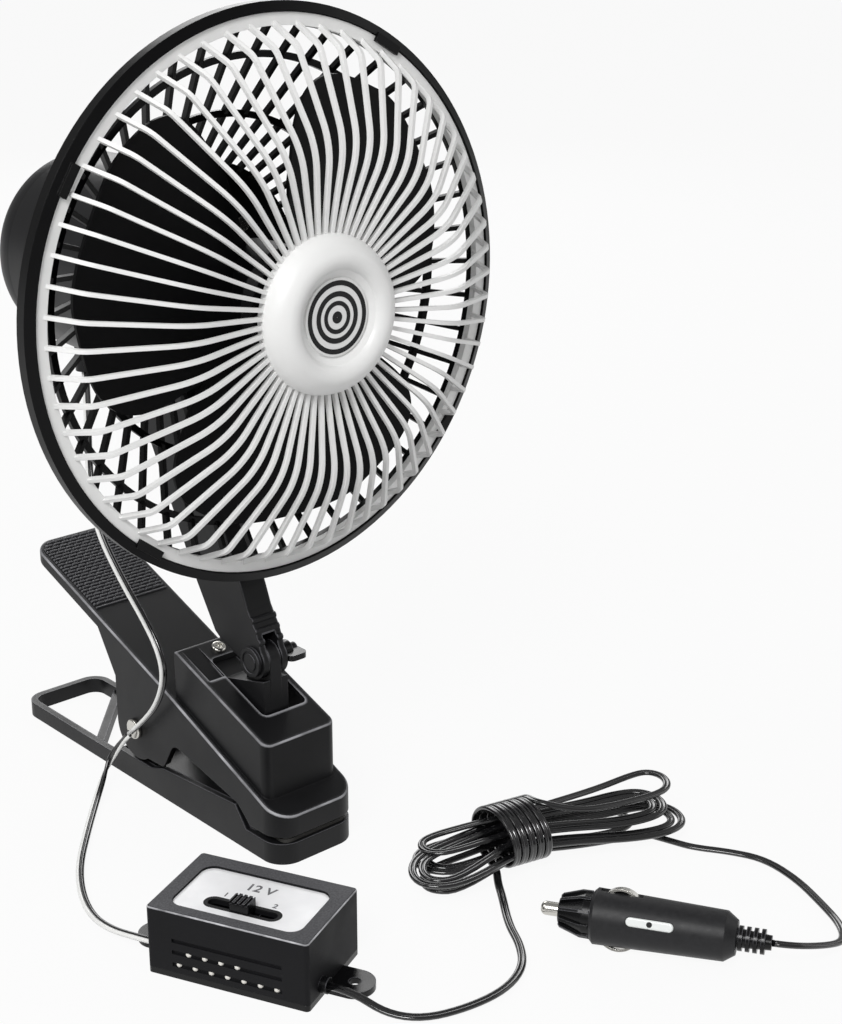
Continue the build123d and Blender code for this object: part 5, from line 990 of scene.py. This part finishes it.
@dataclass
class SwitchBox:
    """Small details of the switch box: ends of the ceramic core in its vents, and the label's print."""

    seat: Seat = Seat((-66.8, -143.6, 0.0), (0.41707, -0.90887, 0.0), (0.90887, 0.41707, 0.0),
                      (0.0, 0.0, 1.0))
    bead_r: float = 1.15
    bead_tall: float = 0.8
    bead_turns: tuple[float, ...] = (-0.2, 0.25, 0.65, 1.0, 1.3, 1.48)
    bead_sides: int = 14
    bead_y: float = -19.62
    step: float = 6.55
    low_z: float = 5.6
    high_z: float = 10.7
    low_count: int = 7
    high_count: int = 4
    high_from: float = -15.6
    label_z: float = 26.3
    label_thick: float = 0.6
    ink: float = 0.06
    slot: Pair = (28.0, 4.4)
    slot_middle: Pair = (0.0, -7.4)
    slot_border: float = 1.5
    slot_lip: float = -0.1
    slot_gap: float = -0.01
    slot_sides: int = 14
    type_size: float = 1.4
    type_bold: float = 0.03
    type_steps: int = 3
    marks: tuple[tuple[str, float, float, float], ...] = (
        ("1", -10.0, -1.4, 2.6), ("0", 0.0, -1.4, 2.6), ("2", 10.0, -1.4, 2.6), ("12 V", 0.0, 6.4, 4.4),
    )

    def build(self) -> None:
        """Makes the beads and the print."""
        self.beads()
        self.border()
        for i, (text, x, y, tall) in enumerate(self.marks):
            self.mark(f"label_mark_{i}", text, x, y, tall)

    def beads(self) -> None:
        """Sets a domed white bead in each vent hole."""
        spots = [((i - (self.low_count - 1) / 2) * self.step, self.low_z) for i in range(self.low_count)]
        spots += [(self.high_from + i * self.step, self.high_z) for i in range(self.high_count)]
        skin = Skin()
        for x, z in spots:
            rings = []
            for turn in self.bead_turns:
                wide, out = self.bead_r * math.cos(turn), self.bead_tall * self.bead_r * math.sin(turn)
                rings.append([self.seat.spot(x + a, self.bead_y - out, z + b)
                              for a, b in circle(wide, self.bead_sides)])
            skin.loft(rings)
        place("vent_beads", skin, CERAMIC, "white_ceramic", "base", smooth=True)

    def border(self) -> None:
        """Prints the dark border round the switch's slot."""
        skin = Skin()
        length, width = self.slot
        inner, wall, outer = (stadium(length + 2 * edge, width + 2 * edge, self.slot_middle, self.slot_sides)
                              for edge in (self.slot_lip, self.slot_gap, self.slot_border))
        skin.band(self.seat, inner, outer, self.label_z, self.label_z + self.ink)
        skin.band(self.seat, inner, wall, self.label_z - self.label_thick, self.label_z)
        place("slot_border", skin, PRINT_BLACK, "label_foil", "base")

    def mark(self, name: str, text: str, x: float, y: float, tall: float) -> None:
        """Prints one numeral or rating on the label.

        Args:
            name: Name of the piece.
            text: What it says.
            x: Middle along the label.
            y: Middle across it.
            tall: Height of the type.
        """
        data = bpy.data.curves.new(name, "FONT")
        data.body, data.size = text, self.type_size * tall
        data.align_x, data.align_y = "CENTER", "CENTER"
        data.extrude, data.offset = self.ink, self.type_bold * tall
        data.resolution_u = self.type_steps
        skin = shape_of(name, data)
        skin.points = [self.seat.spot(x + p.x, y + p.y, self.label_z + p.z) for p in skin.points]
        place(name, skin, PRINT_GREY, "label_foil", "base")


@dataclass
class Plug:
    """Small details of the lighter plug: fins on its nose and the dot in its lens."""

    origin: Point = (62.2, -261.5, 11.0)
    axis: Point = (-0.52233, 0.85275, 0.0)
    side: Point = (0.85275, 0.52233, 0.0)
    fins: int = 10
    fin_half: float = 0.6
    fin_outline: tuple[Pair, ...] = ((53.4, 8.0), (53.4, 9.0), (57.4, 8.9), (64.6, 6.5), (65.2, 5.8),
                                     (65.2, 4.2), (56.0, 7.4))
    lens_turn_deg: float = -60.0
    lens_middle: float = 30.75
    lens_top: float = 10.3
    dot_r: Pair = (0.05, 1.05)
    dot_rise: Pair = (-0.05, 0.08)
    dot_sides: int = 20

    def out(self, turn: float) -> Vector:
        """Direction out of the plug's side.

        Args:
            turn: Turn from straight up, in radians.

        Returns:
            The direction.
        """
        return UP * math.cos(turn) + Vector(self.side) * math.sin(turn)

    def along(self, distance: float) -> Vector:
        """Point on the plug's axis.

        Args:
            distance: Distance from its origin in millimetres.

        Returns:
            The point in millimetres.
        """
        return Vector(self.origin) + Vector(self.axis) * distance

    def build(self) -> None:
        """Makes the fins and the dot."""
        skin = Skin()
        for i in range(self.fins):
            out = self.out(2 * math.pi * (i + 0.5) / self.fins)
            wide = Vector(self.axis).cross(out)
            skin.loft([[(self.along(s) + out * r + wide * half) * MM for s, r in self.fin_outline]
                       for half in (-self.fin_half, self.fin_half)])
        place("plug_fins", skin, GLOSS_BLACK, "black_moulded_plastic", "base")
        out = self.out(math.radians(self.lens_turn_deg))
        wide = out.cross(Vector(self.axis))
        seat = Seat(tuple(self.along(self.lens_middle)), self.axis, tuple(wide), tuple(out))
        inner, outer = (circle(radius, self.dot_sides) for radius in self.dot_r)
        low, high = (self.lens_top + rise for rise in self.dot_rise)
        dot = Skin()
        dot.band(seat, inner, outer, low, high)
        place("lens_dot", dot, PRINT_BLACK, "fuse_glass", "base")


@dataclass
class Springs:
    """The clip's torsion spring and the plug's tip spring, wound as round wire."""

    pin_z: float = 26.0
    clip_r: float = 6.4
    clip_half: float = 8.0
    clip_wire_r: float = 1.1
    clip_turn_deg: Pair = (-135.94, -1663.08)
    lower_leg: Pair = (13.0, 3.365)
    upper_leg: Pair = (30.0, 67.457)
    tip_r: float = 3.0
    tip_wire_r: float = 0.4
    tip_turns: int = 6
    tip_span: Pair = (14.4, 30.4)
    tip_stroke: float = 2.5
    step_deg: float = 15.0
    wire_sides: int = 10
    plug: Plug = field(default_factory=Plug)

    def build(self) -> None:
        """Winds both springs, sets the tip spring on the base, and hides the model's springs."""
        piece = self.wind("clip_spring_wire", self.clip_line(), self.clip_wire_r, None)
        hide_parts("torsion_spring")
        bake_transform(piece)
        piece = self.wind("tip_spring_wire", self.tip_line(), self.tip_wire_r, "base")
        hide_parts("tip_spring")
        foot = self.tip_span[0] - self.tip_wire_r
        tuple(self.plug.along(foot) * MM)
        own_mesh(piece)

    def clip_line(self) -> list[Vector]:
        """Middle of the clip spring's wire: a leg on the lower lever, the coil, a leg on the upper lever.

        Returns:
            Points in millimetres.
        """
        first, last = map(math.radians, self.clip_turn_deg)
        steps = round(abs(last - first) / math.radians(self.step_deg))
        line = [Vector((-self.clip_half, *self.lower_leg))]
        for i in range(steps + 1):
            turn = first + (last - first) * i / steps
            line.append(Vector((self.clip_half * (2 * i / steps - 1), self.clip_r * math.cos(turn),
                                self.pin_z + self.clip_r * math.sin(turn))))
        return line + [Vector((self.clip_half, *self.upper_leg))]

    def tip_line(self) -> list[Vector]:
        """Middle of the tip spring's wire, a plain helix along the plug.

        Returns:
            Points in millimetres.
        """
        steps = round(360 * self.tip_turns / self.step_deg)
        low, high = self.tip_span
        return [self.plug.along(low + (high - low) * i / steps)
                + self.plug.out(math.radians(self.step_deg) * i) * self.tip_r for i in range(steps + 1)]

    def wind(self, name: str, line: list[Vector], wire_r: float, body: str | None) -> bpy.types.Object:
        """Makes a round wire along a line.

        Args:
            name: Name of the piece.
            line: Middle of the wire, in millimetres.
            wire_r: Radius of the wire, in millimetres.
            body: Body that carries it, or None where it bends between two.

        Returns:
            The new piece.
        """
        rings: list[list[Vector]] = []
        side = (line[1] - line[0]).orthogonal()
        for i, here in enumerate(line):
            ahead = (line[min(i + 1, len(line) - 1)] - line[max(i - 1, 0)]).normalized()
            side = (side - ahead * side.dot(ahead)).normalized()
            over = ahead.cross(side)
            rings.append([(here + side * a + over * b) * MM for a, b in circle(wire_r, self.wire_sides)])
        skin = Skin()
        skin.loft(rings)
        return place(name, skin, SPRING_WIRE, "spring_steel", body, smooth=True)


def main() -> None:
    """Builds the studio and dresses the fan."""
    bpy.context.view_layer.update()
    Studio().build()
    SwitchBox().build()
    Plug().build()
    Springs().build()
    Cords().build()
    Grip().build()
    Badge().build()
    for finish, names in WORN_BY.items():
        for name in names.split():
            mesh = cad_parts[name].data
            mesh.materials.clear()
            mesh.materials.append(finish.material())
        log.info("%s is on %s", finish.name, names)


logging.basicConfig(level=logging.INFO)
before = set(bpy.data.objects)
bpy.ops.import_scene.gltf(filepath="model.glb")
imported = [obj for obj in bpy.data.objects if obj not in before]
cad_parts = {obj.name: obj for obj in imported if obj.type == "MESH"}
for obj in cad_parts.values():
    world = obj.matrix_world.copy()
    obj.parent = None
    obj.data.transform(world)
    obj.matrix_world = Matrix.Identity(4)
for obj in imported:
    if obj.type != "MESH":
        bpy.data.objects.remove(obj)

if __name__ == "__main__":
    main()
